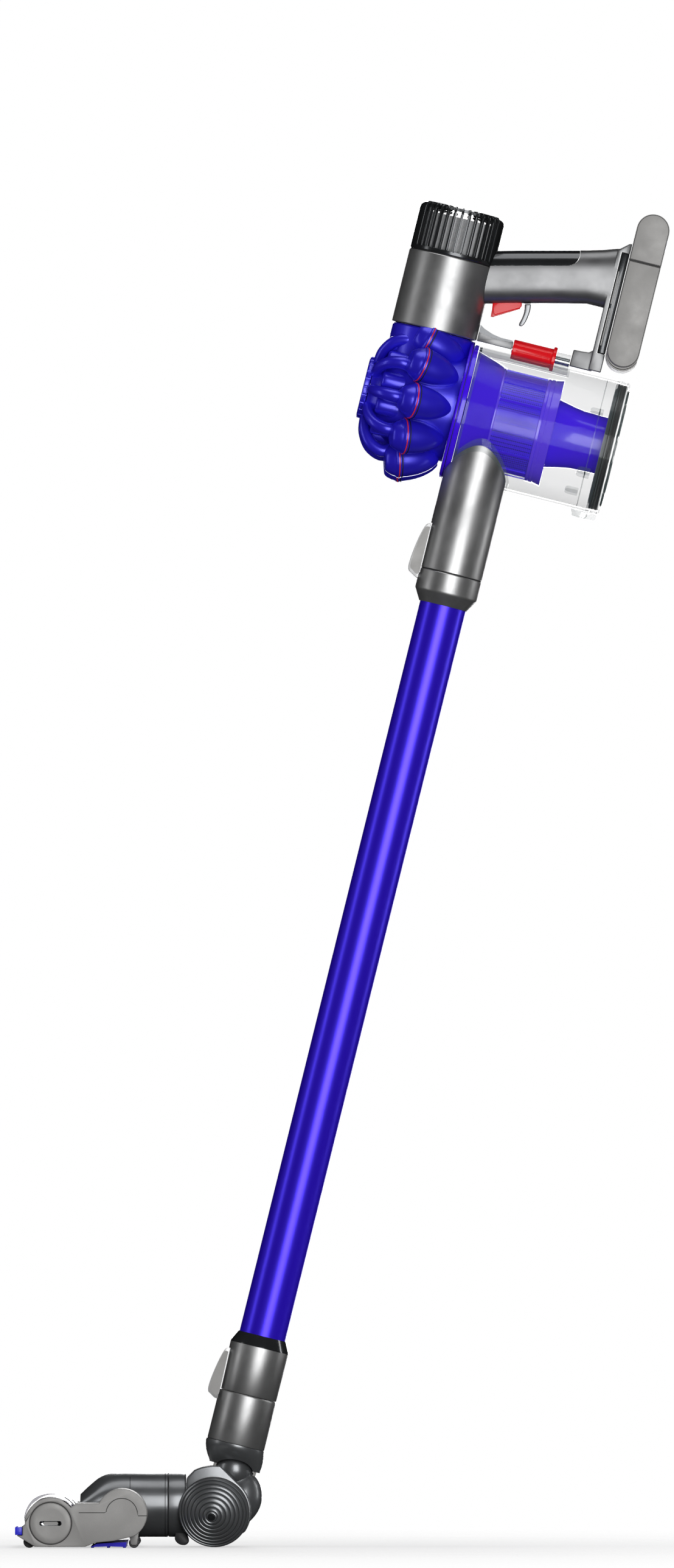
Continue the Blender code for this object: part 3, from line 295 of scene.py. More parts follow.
def raw(name, points, faces, leaning):
    """A mesh object in the row frame, closed and facing out, not yet on a body."""
    mesh = bpy.data.meshes.new(name)
    placed = [leaned(point) if leaning else point for point in points]
    mesh.from_pydata([[MM * value for value in point] for point in placed], [], faces)
    shape = bmesh.new()
    shape.from_mesh(mesh)
    bmesh.ops.recalc_face_normals(shape, faces=shape.faces)
    shape.to_mesh(mesh)
    shape.free()
    made = bpy.data.objects.new(name, mesh)
    bpy.context.collection.objects.link(made)
    return made


def settle(piece):
    """Replaces the mesh by what its modifiers make of it."""
    bpy.context.view_layer.update()
    graph = bpy.context.evaluated_depsgraph_get()
    piece_mesh = bpy.data.meshes.new_from_object(piece.evaluated_get(graph))
    piece.modifiers.clear()
    piece.data = piece_mesh
    return piece


def boolean(piece, operation, others):
    for other in others:
        step = piece.modifiers.new(other.name, 'BOOLEAN')
        step.operation = operation
        step.object = other
    settle(piece)
    for other in others:
        bpy.data.objects.remove(other, do_unlink=True)
    return piece


def cut(piece, *others):
    return boolean(piece, 'DIFFERENCE', others)


def join(piece, *others):
    return boolean(piece, 'UNION', others)


def soften(piece, width, segments=2, angle=35):
    bevel = piece.modifiers.new('edges', 'BEVEL')
    bevel.width = MM * width
    bevel.segments = segments
    bevel.limit_method = 'ANGLE'
    bevel.angle_limit = math.radians(angle)
    bevel.use_clamp_overlap = True
    return settle(piece)


def place(piece, look, body, *nodes, slot=None, sharp=32):
    """Finishes a piece: smooth shading, its look, its body and the nodes it stands for."""
    piece.data.materials.clear()
    piece.data.materials.append(LOOKS[look])
    piece.data.shade_smooth()
    piece.data.set_sharp_from_angle(angle=math.radians(sharp))
    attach(piece, body)
    slot = slot or SLOTS[look]
    if nodes:
        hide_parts(*nodes)


def skin(rings, looped=False):
    size = len(rings[0])
    points = [point for ring in rings for point in ring]
    faces = []
    for i in range(len(rings) if looped else len(rings) - 1):
        low, high = (i * size, (i + 1) % len(rings) * size)
        for j in range(size):
            k = (j + 1) % size
            faces.append((low + j, low + k, high + k, high + j))
    if not looped:
        faces.append(tuple(range(size)))
        faces.append(tuple(range((len(rings) - 1) * size, len(rings) * size)))
    return (points, faces)


def circle(radius, height, axis, centre, segments, radius_b=None):
    wide = radius if radius_b is None else radius_b
    ring = []
    for i in range(segments):
        angle = 2 * math.pi * i / segments
        a, b = (radius * math.cos(angle), wide * math.sin(angle))
        offset = {'x': (height, a, b), 'y': (a, height, b), 'z': (a, b, height)}[axis]
        ring.append([zero + value for zero, value in zip(centre, offset)])
    return ring


def turned(name, profile, axis, centre, leaning, looped=False, segments=96):
    rings = [circle(radius, height, axis, centre, segments) for radius, height in profile]
    return raw(name, *skin(rings, looped), leaning)


def turner(axis, centre, leaning=True):
    """A maker of bodies turned round one fixed axis."""

    def make(name, profile, looped=False, segments=96):
        return turned(name, profile, axis, centre, leaning, looped, segments)
    return make
on_motor = turner('z', (MOTOR_R, HAND_Y, 0))
on_bin_axis = turner('x', (0, HAND_Y, BIN_S))
on_rail = turner('x', (0, HAND_Y, RAIL_S))
on_wand = turner('z', (0, 0, 0))
on_duct = turner('x', (0, 0, COLLAR_Z), False)
on_brush = turner('y', (BRUSH_X, 0, BRUSH_Z), False)


def prism(name, outline, low, high, leaning):
    rings = [[(a, height, b) for a, b in outline] for height in (low, high)]
    return raw(name, *skin(rings), leaning)


def slab(name, x, y, z, leaning):
    outline = [(x[0], z[0]), (x[1], z[0]), (x[1], z[1]), (x[0], z[1])]
    return prism(name, outline, y[0], y[1], leaning)


def arc(centre, radius, start_angle, end_angle, count):
    found = []
    for i in range(count + 1):
        angle = math.radians(start_angle + (end_angle - start_angle) * i / count)
        found.append((centre[0] + radius * math.cos(angle), centre[1] + radius * math.sin(angle)))
    return found


def smooth_path(points, steps):
    """A Catmull-Rom curve through vectors of any length."""
    found = []
    for i in range(len(points) - 1):
        before, one = (points[max(i - 1, 0)], points[i])
        two, after = (points[i + 1], points[min(i + 2, len(points) - 1)])
        for k in range(steps):
            t = k / steps
            found.append(tuple((0.5 * (2 * b + (c - a) * t + (2 * a - 5 * b + 4 * c - d) * t * t + (3 * b
                - a - 3 * c + d) * t ** 3) for a, b, c, d in zip(before, one, two, after))))
    found.append(tuple(points[-1]))
    return found


def sweep(name, path, radii, leaning, segments=24):
    """A tube along a path of points, with a radius at each; its rings don't twist."""
    spots = [Vector(point) for point in path]
    count = len(spots)
    across = None
    rings = []
    for i, spot in enumerate(spots):
        along = (spots[min(i + 1, count - 1)] - spots[max(i - 1, 0)]).normalized()
        if across is None:
            across = along.orthogonal().normalized()
        across = (across - along * across.dot(along)).normalized()
        up = along.cross(across)
        radius = radii[i] if isinstance(radii, (list, tuple)) else radii
        ring = []
        for k in range(segments):
            angle = 2 * math.pi * k / segments
            ring.append(tuple(spot + radius * (math.cos(angle) * across + math.sin(angle) * up)))
        rings.append(ring)
    return raw(name, *skin(rings), leaning)


def spindle(name, start_point, end_point, profile, leaning, segments=40, looped=False):
    """A turned body between two points: profile holds (share of the length, radius)."""
    low, span = (Vector(start_point), Vector(end_point) - Vector(start_point))
    across = span.orthogonal().normalized()
    up = span.cross(across).normalized()
    rings = []
    for share, radius in profile:
        middle = low + span * share
        ring = []
        for i in range(segments):
            angle = 2 * math.pi * i / segments
            ring.append(tuple(middle + radius * (math.cos(angle) * across + math.sin(angle) * up)))
        rings.append(ring)
    return raw(name, *skin(rings, looped), leaning)


def band(name, start_point, end_point, share, radius, half, thick, leaning, segments=40):
    """A thin ring round a spindle's axis, at a share of its length."""
    low, span = (Vector(start_point), Vector(end_point) - Vector(start_point))
    across = span.orthogonal().normalized()
    up = span.cross(across).normalized()
    along = span.normalized()
    rings = []
    for shift, reach in ((-half, radius - thick), (-half, radius), (half, radius),
            (half, radius - thick)):
        middle = low + span * share + along * shift
        ring = []
        for i in range(segments):
            angle = 2 * math.pi * i / segments
            ring.append(tuple(middle + reach * (math.cos(angle) * across + math.sin(angle) * up)))
        rings.append(ring)
    return raw(name, *skin(rings, True), leaning)


def gather(name, pieces):
    """Several loose pieces as one object with one mesh."""
    shape = bmesh.new()
    for piece in pieces:
        shape.from_mesh(piece.data)
        bpy.data.objects.remove(piece, do_unlink=True)
    mesh = bpy.data.meshes.new(name)
    shape.to_mesh(mesh)
    shape.free()
    made = bpy.data.objects.new(name, mesh)
    bpy.context.collection.objects.link(made)
    return made


def on_bin(radius, degrees, r):
    """A point round the bin's axis, with the angle counted from straight down."""
    angle = math.radians(degrees)
    return (r, HAND_Y + radius * math.sin(angle), BIN_S - radius * math.cos(angle))


# ---------------- motor, exhaust and cyclones

def around_motor(reach, angle, height):
    return (MOTOR_R + reach * math.cos(angle), HAND_Y + reach * math.sin(angle), height)


def fin(name, angle, half, outline, leaning=True):
    """A thin upright plate that stands out from the motor's axis; outline is (reach, height)."""
    over = (-math.sin(angle), math.cos(angle))
    rings = []
    for side in (-half, half):
        ring = []
        for reach, height in outline:
            x, y, z = around_motor(reach, angle, height)
            ring.append((x + over[0] * side, y + over[1] * side, z))
        rings.append(ring)
    return raw(name, *skin(rings), leaning)


def build_motor():
    shape = [(33.9, 393.2), (33.9, 330.4), (35.9, 330.4), (36.5, 331.2), (36.5, 392.6), (36.1, 393.2)]
    place(on_motor('motor_case', shape, True), 'nickel', 'handheld', 'motor_housing')
    shape = [(35.7, 393), (35.7, 394.2), (34, 394.2), (34, 393)]
    place(on_motor('motor_case_seam', shape, True), 'line', 'filter_unit', slot='gunmetal')


def build_exhaust():
    shape = [(34.1, 432), (34.1, 394.3), (36.1, 394.3), (36.5, 394.9), (36.5, 429.6), (36, 432.2),
        (34.6, 434), (32.6, 434.8)]
    cap = on_motor('exhaust_shell', shape)
    slots, fins = ([], [])
    outline = [(27.5, 397.5), (38.5, 397.5), (38.5, 440), (27.5, 440)]
    rib = [(33, 397), (36.6, 397), (36.9, 400), (36.9, 430.4), (36.2, 433.4), (34.4, 435.4),
        (27.6, 435.6), (27.6, 431), (33, 430)]
    for side in (-1, 1):
        for i in range(12):
            angle = math.radians(90 * side - 55 + 10 * i)
            slots.append(fin(f'slot_{side}_{i}', angle, 2.05, outline))
        for i in range(13):
            angle = math.radians(90 * side - 60 + 10 * i)
            fins.append(fin(f'fin_{side}_{i}', angle, 0.75, rib))
    cut(cap, gather('slots', slots))
    soften(cap, 0.25, 1)
    place(cap, 'gunmetal', 'filter_unit', 'exhaust_cap')
    ribs = gather('exhaust_ribs', fins)
    soften(ribs, 0.3, 2)
    place(ribs, 'gunmetal', 'filter_unit')
    points = []
    pleats = 96
    for low_height in (397, 427):
        ring = []
        for i in range(2 * pleats):
            angle = math.pi * i / pleats
            ring.append(around_motor(31.6 if i % 2 else 28.6, angle, low_height))
        points.append(ring)
    pleated = raw('exhaust_pleats', *skin(points), True)
    place(pleated, 'filter', 'filter_unit', 'post_filter', sharp=20)


def cone_ends(turn):
    return (on_bin(57.2, turn, -66), on_bin(47.6, turn, -33.6))


def build_cyclones():
    core = [(46, -30.2), (46.6, -36), (47.6, -48), (48.4, -60), (46.5, -72), (41, -82), (34, -92),
        (28.5, -100), (27, -104.2)]
    path = smooth_path(core, 4)
    body = on_bin_axis('cyclone_core', path)
    hollow = [(38, -20), (40, -40), (40, -70), (13.6, -88), (13.6, -120)]
    cut(body, on_bin_axis('core_hollow', hollow, segments=48))
    place(body, 'blue', 'handheld', 'cyclone_pack')
    shape = [(20, 296), (32.2, 296), (34.2, 306), (35.2, 320), (35.2, 328.4), (34, 329.7), (20, 329.7)]
    neck = on_motor('cyclone_neck', shape, True)
    place(neck, 'blue', 'handheld')
    bullet = [(0, 15), (0.03, 15.2), (0.08, 14.7), (0.3, 13.9), (0.5, 12.6), (0.7, 10.2), (0.86, 7.2),
        (0.96, 4.2), (1, 2.2)]
    dome = [(-0.34, 6.4), (-0.33, 8.4), (-0.27, 10.6), (-0.16, 12.8), (-0.08, 13.8), (-0.045, 14.9),
        (0, 15.1)]
    profile = dome[:-1] + bullet
    cones, reds, blacks, fingers = ([], [], [], [])
    for i in range(10):
        turn = FIRST_CONE + CONE_STEP * (i - 2)
        first, last = cone_ends(turn)
        cones.append(spindle(f'cone_{i}', first, last, smooth_path(profile, 3), True))
        reds.append(band(f'red_{i}', first, last, -0.005, 15.42, 0.42, 1.2, True))
        blacks.append(band(f'black_{i}', first, last, 0.07, 15.05, 0.42, 1, True))
        ribs = [on_bin(49.5, turn, -74), on_bin(52.5, turn, -82), on_bin(48, turn, -92.5),
            on_bin(37.5, turn, -99.6), on_bin(27.5, turn, -101.6), on_bin(22, turn, -101)]
        path = smooth_path(ribs, 5)
        count = len(path)
        sizes = [5.6 - 1.3 * k / count for k in range(count)]
        fingers.append(sweep(f'finger_{i}', path, sizes, True, 20))
    for i in range(2):
        turn = (-1, 1)[i] * 30 * 5.2
        ribs = [on_bin(40, turn, -70), on_bin(45, turn, -82), on_bin(41, turn, -92.5),
            on_bin(33, turn, -99.6), on_bin(24, turn, -101.4)]
        path = smooth_path(ribs, 5)
        fingers.append(sweep(f'duct_{i}', path, 4.8, True, 20))
    place(gather('cyclone_cones', cones), 'blue', 'handheld', sharp=28)
    place(gather('cyclone_red_seams', reds), 'red_line', 'handheld')
    place(gather('cyclone_dark_seams', blacks), 'line', 'handheld')
    place(gather('cyclone_fingers', fingers), 'blue', 'handheld', sharp=50)
    drums = []
    drum = smooth_path([(0, 12.2), (0.06, 12.2), (0.5, 11.4), (0.86, 10.2), (0.96, 9.2), (1, 7.6)], 3)
    for i in range(10):
        turn = FIRST_CONE + CONE_STEP * (i - 1.5)
        first, last = (on_bin(35, turn, -70), on_bin(37.2, turn, -95.5))
        drums.append(spindle(f'drum_{i}', first, last, [(share, reach * 0.78) for share, reach in drum],
            True))
    place(gather('cyclone_drums', drums), 'blue', 'handheld', sharp=28)
    shape = [(43, -29.9), (57.6, -29.9), (58.6, -29.3), (59, -28.2), (58.6, -26.4), (57.6, -25.8),
        (57.6, -22.6), (43, -22.4)]
    place(on_bin_axis('cyclone_rim', shape, True), 'violet', 'handheld', 'cyclone_flange',
        slot='blue_plastic')
    shape = [(43, -27.4), (59.15, -27.4), (59.15, -26.8), (43, -26.8)]
    place(on_bin_axis('cyclone_rim_seam', shape, True), 'line', 'handheld')


def build_filter_stick():
    shape = [(8, -104.5), (25.4, -104.6), (26.4, -105), (26.8, -106), (26.8, -108.2), (26, -109.2),
        (24.8, -109.6), (21, -109.6), (20.4, -108.9), (12, -108.6), (11.4, -109.3), (4, -109.5)]
    knob = on_bin_axis('filter_handle', shape)
    notches = []
    for i in range(24):
        spot = on_bin(27.4, 15 * i, 0)
        notches.append(turned(f'notch_{i}', [(1.4, -112), (1.4, -104)], 'x', spot, True, segments=16))
    cut(knob, gather('notches', notches))
    place(knob, 'blue', 'filter_stick', 'filter_knob')
    rings = []
    pleats = 40
    for r, out, depth in ((-104.3, 11, 0), (-103, 12.4, 0), (-97, 12.6, 1.6), (-20, 11.6, 1.6),
            (26, 10.6, 1.4), (28, 10.4, 0), (31, 8.4, 0), (32, 6, 0)):
        ring = []
        for i in range(2 * pleats):
            ring.append(on_bin(out - (depth if i % 2 else 0), 180 * i / pleats, r))
        rings.append(ring)
    place(raw('filter_sleeve', *skin(rings), True), 'filter', 'filter_stick', 'pre_filter', sharp=20)


# ---------------- inside the bin

def build_shroud():
    cone = [(53.2, -21.9), (51.8, -18), (45.6, 1), (44.8, 2.6), (43.8, 3.4), (42.4, 3.4), (42.4, 2),
        (50.2, -20), (50.8, -21.9)]
    groove = [(12.9, -40), (12.9, 60)]
    upper = on_bin_axis('shroud_cone', cone, True)
    cut(upper, on_rail('groove', groove, segments=48))
    place(upper, 'violet', 'handheld', 'shroud')
    rims = []
    for number, (front, back, out) in enumerate(((2.4, 4.6, 44.4), (40.6, 43.6, 44.5))):
        shape = [(41.6, front), (out - 0.5, front), (out, front + 0.5), (out, back - 0.5),
            (out - 0.5, back), (41.6, back)]
        rims.append(on_bin_axis(f'rim_{number}', shape, True))
    place(gather('shroud_rims', rims), 'pale_violet', 'handheld')
    bars = []
    for i in range(12):
        turn = 30 * i + 8
        wide = 3.2 if i % 2 else 1
        rings = []
        for r in (4.4, 40.8):
            ring = []
            for radius, shift in ((41.9, -wide), (43.7, -wide), (43.8, 0), (43.7, wide), (41.9, wide)):
                ring.append(on_bin(radius, turn + math.degrees(shift / 43), r))
            rings.append(ring)
        bars.append(raw(f'bar_{i}', *skin(rings), True))
    place(gather('shroud_bars', bars), 'violet', 'handheld')
    shape = [(42.4, 4), (42.4, 41), (41.6, 41), (41.6, 4)]
    place(on_bin_axis('shroud_mesh', shape, True), 'mesh', 'handheld')
    skirt = [(44.2, 43.6), (44.6, 44), (45, 46.6), (44.4, 47.4), (45.5, 52.4), (46, 54), (45, 54.2),
        (43.6, 47.8), (42.2, 46.8), (42, 43.6)]
    place(on_bin_axis('shroud_skirt', skirt, True), 'pale_violet', 'handheld')
    cone = [(41.4, 47.2), (41.6, 48.8), (33.6, 49.8), (30.4, 52.4), (29.2, 55.6), (26.4, 68), (25.1, 76),
        (24.5, 90), (24.4, 98), (22.8, 98), (23.2, 76), (27.4, 54), (31, 48.6), (33, 47.2)]
    place(on_bin_axis('dust_funnel', cone, True), 'violet', 'handheld', 'dust_cone')


def build_bin():
    inner, outer = (55, 57.2)
    shape = [(inner, -21.9), (outer - 0.3, -21.9), (outer, -21.4), (outer, 93.6), (57.1, 94),
        (57.1, 99.4), (56.9, 100), (inner, 100)]
    shell = on_bin_axis('bin_wall', shape, True, 128)
    cut(shell, on_rail('channel_room', [(12.3, -40), (12.3, 56.2)], segments=64),
        on_wand('inlet_room', [(18.4, 190), (18.4, 262)], segments=64))
    place(shell, 'clear', 'bin', 'bin_shell')
    channel = on_rail('channel', [(12.3, -21.9), (12.3, 56.2)], segments=64)
    boolean(channel, 'INTERSECT', [on_bin_axis('round_bar', [(57, -30), (57, 90)])])
    cut(channel, on_rail('channel_bore', [(11, -40), (11, 54.6)], segments=64))
    place(channel, 'clear_thick', 'bin')
    rims = []
    for number, (front, back, out, low) in enumerate(((-21.8, -19.4, 57.25, 54.6), (88.4, 89.4, 57.3, 55),
            (96.8, 99.9, 57.25, 54.5))):
        shape = [(low, front), (out, front), (out, back), (low, back)]
        rim = on_bin_axis(f'bin_rim_{number}', shape, True)
        if front < 0:
            cut(rim, on_rail('rim_gap', [(11.4, -40), (11.4, 56.2)], segments=48))
        rims.append(rim)
    place(gather('bin_rims', rims), 'clear_thick', 'bin')
    tabs = []
    for number, (turn, front) in enumerate(((-118, 84), (-62, 85), (-38, 79), (62, 85), (118, 84),
            (38, 79))):
        outline = []
        for k in range(13):
            angle = math.pi * k / 12
            outline.append((front - 3.2 * math.sin(angle), 3 * math.cos(angle)))
        outline += [(front + 8, -3), (front + 8, 3)]
        rings = []
        for radius in (53.4, 54.9):
            rings.append([on_bin(radius, turn + math.degrees(w / radius), r) for r, w in outline])
        tabs.append(raw(f'tab_{number}', *skin(rings), True))
    place(gather('bin_tabs', tabs), 'clear_thick', 'bin')
    ears = []
    for side in (-1, 1):
        outline = [(84, 214.6), (86.6, 208.2), (88, 207), (98, 207), (99.4, 209.4), (99.4, 214.6)]
        low, high = sorted((HAND_Y + side * 10, HAND_Y + side * 14))
        ear = prism(f'ear_{side}', outline, low, high, True)
        ears.append(soften(ear, 0.6, 2))
    place(gather('bin_ears', ears), 'clear_thick', 'bin')


def build_lid():
    shape = [(54.4, 106.8), (54.4, 100.5), (57.5, 100.5), (57.9, 101), (57.9, 103.4), (57.3, 103.8),
        (57.3, 105.6), (57.6, 106), (57.4, 107.4), (56.4, 109), (54, 109.7), (40, 109.7), (38.8, 108.9),
        (12, 108.9), (10, 109.5), (3, 109.6)]
    place(on_bin_axis('lid_disc', shape, segments=128), 'clear', 'bin_lid', 'bin_lid')
    rings = []
    for number, (front, back, low, out) in enumerate(((100.5, 101.6, 54.5, 57.95),
            (105.6, 107.2, 54.2, 57.7), (107.4, 109.7, 50.6, 52), (107.6, 109.6, 38, 39))):
        shape = [(low, front), (out, front), (out, back), (low, back)]
        rings.append(on_bin_axis(f'lid_ring_{number}', shape, True))
    for i in range(12):
        turn = 30 * i + 15
        ring_pair = []
        for r in (107.2, 109.2):
            ring_pair.append([on_bin(radius, turn + math.degrees(shift / radius), r) for radius,
                shift in ((40, -0.7), (51, -0.7), (51, 0.7), (40, 0.7))])
        rings.append(raw(f'lid_rib_{i}', *skin(ring_pair), True))
    place(gather('lid_rings', rings), 'clear_thick', 'bin_lid')
    lug = [(93.4, 209.8), (94.5, 207.1), (106, 207.1), (107.4, 209), (107.4, 216), (100.9, 216),
        (100.9, 212.2), (94.2, 212.2)]
    piece = prism('lid_knuckle', lug, HAND_Y - 9.5, HAND_Y + 9.5, True)
    cut(piece, turned('pin_room', [(2.1, HAND_Y - 20), (2.1, HAND_Y + 20)], 'y', (96, 0, 210.4), True,
        segments=24))
    place(soften(piece, 0.4, 1), 'clear_thick', 'bin_lid')
    seal = [(53.4, 98.6), (54, 99.4), (54, 100.2), (53, 100.8), (54, 101.4), (54, 102.6), (53, 103.2),
        (54, 103.8), (54, 106), (45, 106), (45, 98.6), (45.6, 97.6), (47.4, 97), (49.4, 97.6),
        (50.2, 98.6)]
    place(on_bin_axis('lid_gasket', seal, True), 'rubber', 'bin_lid', 'lid_seal')
    shape = [(44, 99.8), (44.9, 99.8), (44.9, 105.8), (44, 105.8)]
    place(on_bin_axis('gasket_liner', shape, True), 'black', 'bin_lid')


def build_rail():
    outline = [(-26, 330.9), (4.2, 330.9), (4.2, 337.4), (2, 338), (-7, 338), (-14, 339.2), (-22, 342),
        (-26, 344.4)]
    box_piece = prism('rail_block', outline, HAND_Y - 7, HAND_Y + 7, True)
    cut(box_piece, on_motor('motor_gap', [(36.9, 300), (36.9, 470)]))
    place(soften(box_piece, 0.7, 2), 'grey', 'handheld', 'release_rail')
    outline = [(-26, 338.4), (-22, 338), (-14, 336.6), (-7, 336.2), (2, 336.8), (4, 337.4), (3, 338.3),
        (-7, 338.3), (-14, 339.5), (-22, 342.3), (-26, 344.8)]
    trim = prism('rail_trim', outline, HAND_Y - 7.3, HAND_Y + 7.3, True)
    cut(trim, on_motor('motor_gap', [(36.9, 300), (36.9, 470)]))
    place(trim, 'gunmetal', 'handheld')
    rod = [(3.2, 4.3), (3.2, 54.2)]
    place(on_rail('rail_pin', rod, segments=48), 'chrome', 'handheld')
    tube = [(6.6, 42.2), (7, 42.6), (7, 53.6), (6.6, 54.2), (4, 54.2), (4, 42.2)]
    place(on_rail('rail_sleeve', tube, True, 64), 'clear_thick', 'handheld')
    sleeve = [(8.1, 4.7), (8.5, 5.3), (8.5, 37.8), (8.8, 38.6), (10.2, 38.8), (10.5, 39.2), (10.5, 41.2),
        (10, 41.8), (7.4, 41.8), (7.4, 33), (3.7, 33), (3.7, 4.7)]
    slider = on_rail('slider_sleeve', sleeve, True)
    grooves = []
    for i in range(10):
        angle = math.radians(36 * i + 8)
        spot = (0, HAND_Y + 8.9 * math.cos(angle), RAIL_S + 8.9 * math.sin(angle))
        grooves.append(turned(f'groove_{i}', [(0.9, 8), (0.9, 36.4)], 'x', spot, True, segments=16))
    cut(slider, gather('grooves', grooves))
    place(slider, 'red', 'slider', 'release_slider')
    keys = []
    for angle in (-78, 80, 200):
        turn = math.radians(angle)
        spot = (0, HAND_Y + 7 * math.cos(turn), RAIL_S + 7 * math.sin(turn))
        keys.append(turned(f'key_{angle}', [(0.9, 6), (0.9, 32.6)], 'x', spot, True, segments=16))
    place(gather('slider_keys', keys), 'line', 'slider')


# ---------------- inlet, handle and battery

def bin_clearance(name, near):
    shape = [(57.2 + near, 60), (57.2 + near, -21.6), (59.3 + near, -21.8), (59.3 + near, -45)]
    return on_bin_axis(name, shape, segments=128)


def build_catch(name, outline, tube_radius, body, node_name):
    """A push catch that wraps round the tube's front, with a core that reaches into its pocket."""
    outer = smooth_path(outline + outline[:1], 4)[:-1]
    catch = prism(name, outer, -12, 12, True)
    cut(catch, on_wand('tube_gap', [(tube_radius, -700), (tube_radius, 300)], segments=96))
    low, high = (outline[-1][1] + 1.5, outline[0][1] - 1.5)
    core = slab('core', (outline[0][0] - 3.6, outline[0][0] - 1), (-6.9, 6.9), (low, high), True)
    join(catch, core)
    soften(catch, 1, 3, 40)
    place(catch, 'nickel', body, node_name, sharp=50, slot='satin_grey')
    edges = []
    for side in (-1, 1):
        y_low, y_high = sorted((side * 11.3, side * 12.15))
        middle_r = sum((r for r, _ in outer)) / len(outer)
        middle_s = sum((z for _, z in outer)) / len(outer)
        inner = [(middle_r + (r - middle_r) * 0.74, middle_s + (z - middle_s) * 0.88) for r, z in outer]
        edge = prism(f'edge_{side}', inner, y_low, y_high, True)
        cut(edge, on_wand('tube_gap', [(tube_radius, -700), (tube_radius, 300)], segments=96))
        edges.append(edge)
    place(gather(name + '_trim', edges), 'satin', body)


def build_inlet():
    shape = [(19.7, 134.5), (26.2, 134.5), (26.6, 135.1), (26.6, 187.4), (26.45, 188), (26.45, 262),
        (19.7, 262)]
    inlet = on_wand('inlet_body', shape, True, 128)
    cut(inlet, bin_clearance('inlet_gap', 0.35), slab('button_room', (-32, -22), (-7.6, 7.6),
        (125, 172.6), True))
    place(inlet, 'nickel', 'bin', 'inlet_tube')
    sleeve = [(26.55, 196), (28.9, 196), (28.9, 262), (26.55, 262)]
    rim = on_wand('inlet_rim', sleeve, True, 128)
    hug = [(57.35, -21.4), (60.2, -21.4), (60.2, 60), (57.35, 60)]
    boolean(rim, 'INTERSECT', [on_bin_axis('hug', hug, True, 128)])
    place(rim, 'clear_thick', 'bin')
    shape = [(25.4, 133.9), (26.3, 133.9), (26.3, 134.7), (25.4, 134.7)]
    seam = on_wand('inlet_seam', shape, True)
    cut(seam, slab('seam_gap', (-32, -20), (-7.6, 7.6), (130, 140), True))
    place(seam, 'line', 'bin')
    outline = [(-24, 171.6), (-29.4, 170.6), (-32.4, 163), (-34.8, 151), (-36.2, 139), (-36.2, 132),
        (-33.6, 128.4), (-24, 128)]
    build_catch('inlet_catch', outline, 28.9, 'inlet_button', 'inlet_button')


def grip_ring(x, half_y, low, high, power, count=72):
    middle, half = ((low + high) / 2, (high - low) / 2)
    ring = []
    for i in range(count):
        angle = 2 * math.pi * i / count
        across, up = (math.cos(angle), math.sin(angle))
        ring.append((x, HAND_Y + half_y * math.copysign(abs(across) ** power, across),
            middle + half * math.copysign(abs(up) ** power, up)))
    return ring


def grip_skin(name, grow=0):
    rings = []
    for x, wide, low, high in ((98, 16.6, 1044.8, 1089.6), (120, 16.8, 1044.8, 1089.8),
            (150, 17, 1045.2, 1090.2), (185, 17, 1045.2, 1090.2), (205, 16.8, 1044.8, 1090.2),
            (220, 16.2, 1041, 1090.6), (228, 15.6, 1036, 1091.4), (238, 15.2, 1034, 1092)):
        rings.append(grip_ring(x, wide + grow, low - grow, high + grow, 0.72))
    return raw(name, *skin(rings), False)


def cover_window(near):
    """The grip cover's outline from the side: level, then up round its rear corner."""
    corner = arc((189, 1087.6), 10.6 + near, -90, 0, 16)
    return [(90, 1077 - near), *corner, (199.6 + near, 1099), (90, 1099)]


def build_handle():
    handle = grip_skin('grip_body')
    post = [(70.8, 329.6), (81.6, 329.6), (81.6, 441), (79.8, 441), (70.8, 433.2)]
    post_piece = soften(prism('post', post, HAND_Y - 15, HAND_Y + 15, True), 1.2, 3)
    foot = [(54.6, 328.9), (74, 328.9), (74, 352), (71.6, 347), (68, 344), (62, 343.4), (55, 343.2)]
    foot_piece = soften(prism('foot', foot, HAND_Y - 11, HAND_Y + 11, True), 0.9, 3)
    join(handle, post_piece, foot_piece)
    room = [(74.2, 345), (81.7, 345), (81.7, 320), (130, 320), (130, 470), (81.7, 470), (81.7, 432.6),
        (74.2, 432.6)]
    motor_gap = on_motor('motor_gap', [(36.8, 300), (36.8, 470)], segments=128)
    cut(handle, motor_gap, prism('strip_room', room, HAND_Y - 30, HAND_Y + 30, True),
        prism('cover_room', cover_window(0.3), 0, 50, False), slab('pocket', (135, 192),
        (HAND_Y - 9.5, HAND_Y + 9.5), (1058, 1078), False), slab('trigger_room', (121.5, 152.5),
        (HAND_Y - 6.8, HAND_Y + 6.8), (1040, 1056), False))
    place(handle, 'grey', 'handheld', 'handle_body', sharp=38)
    cover = grip_skin('grip_top')
    boolean(cover, 'INTERSECT', [prism('cover_window', cover_window(0), 0, 50, False)])
    cut(cover, on_motor('motor_gap', [(36.8, 300), (36.8, 470)], segments=128))
    place(cover, 'cover', 'handheld', 'grip_cover', sharp=38)
    strip = slab('contact_bar', (74.6, 81.5), (HAND_Y - 14.4, HAND_Y + 14.4), (345.4, 432.2), True)
    place(soften(strip, 0.8, 2), 'gunmetal', 'handheld', 'contact_strip', slot='black_plastic')
    marks = []
    for side in (-1, 1):
        low, high = sorted((HAND_Y + side * 14.2, HAND_Y + side * 14.7))
        for front, bottom, top in ((75.7, 352, 384), (75.7, 388, 416), (77.6, 362, 412)):
            marks.append(slab(f'mark_{side}_{bottom}', (front, front + 0.9), (low, high), (bottom, top),
                True))
    place(gather('contact_marks', marks), 'satin', 'handheld')


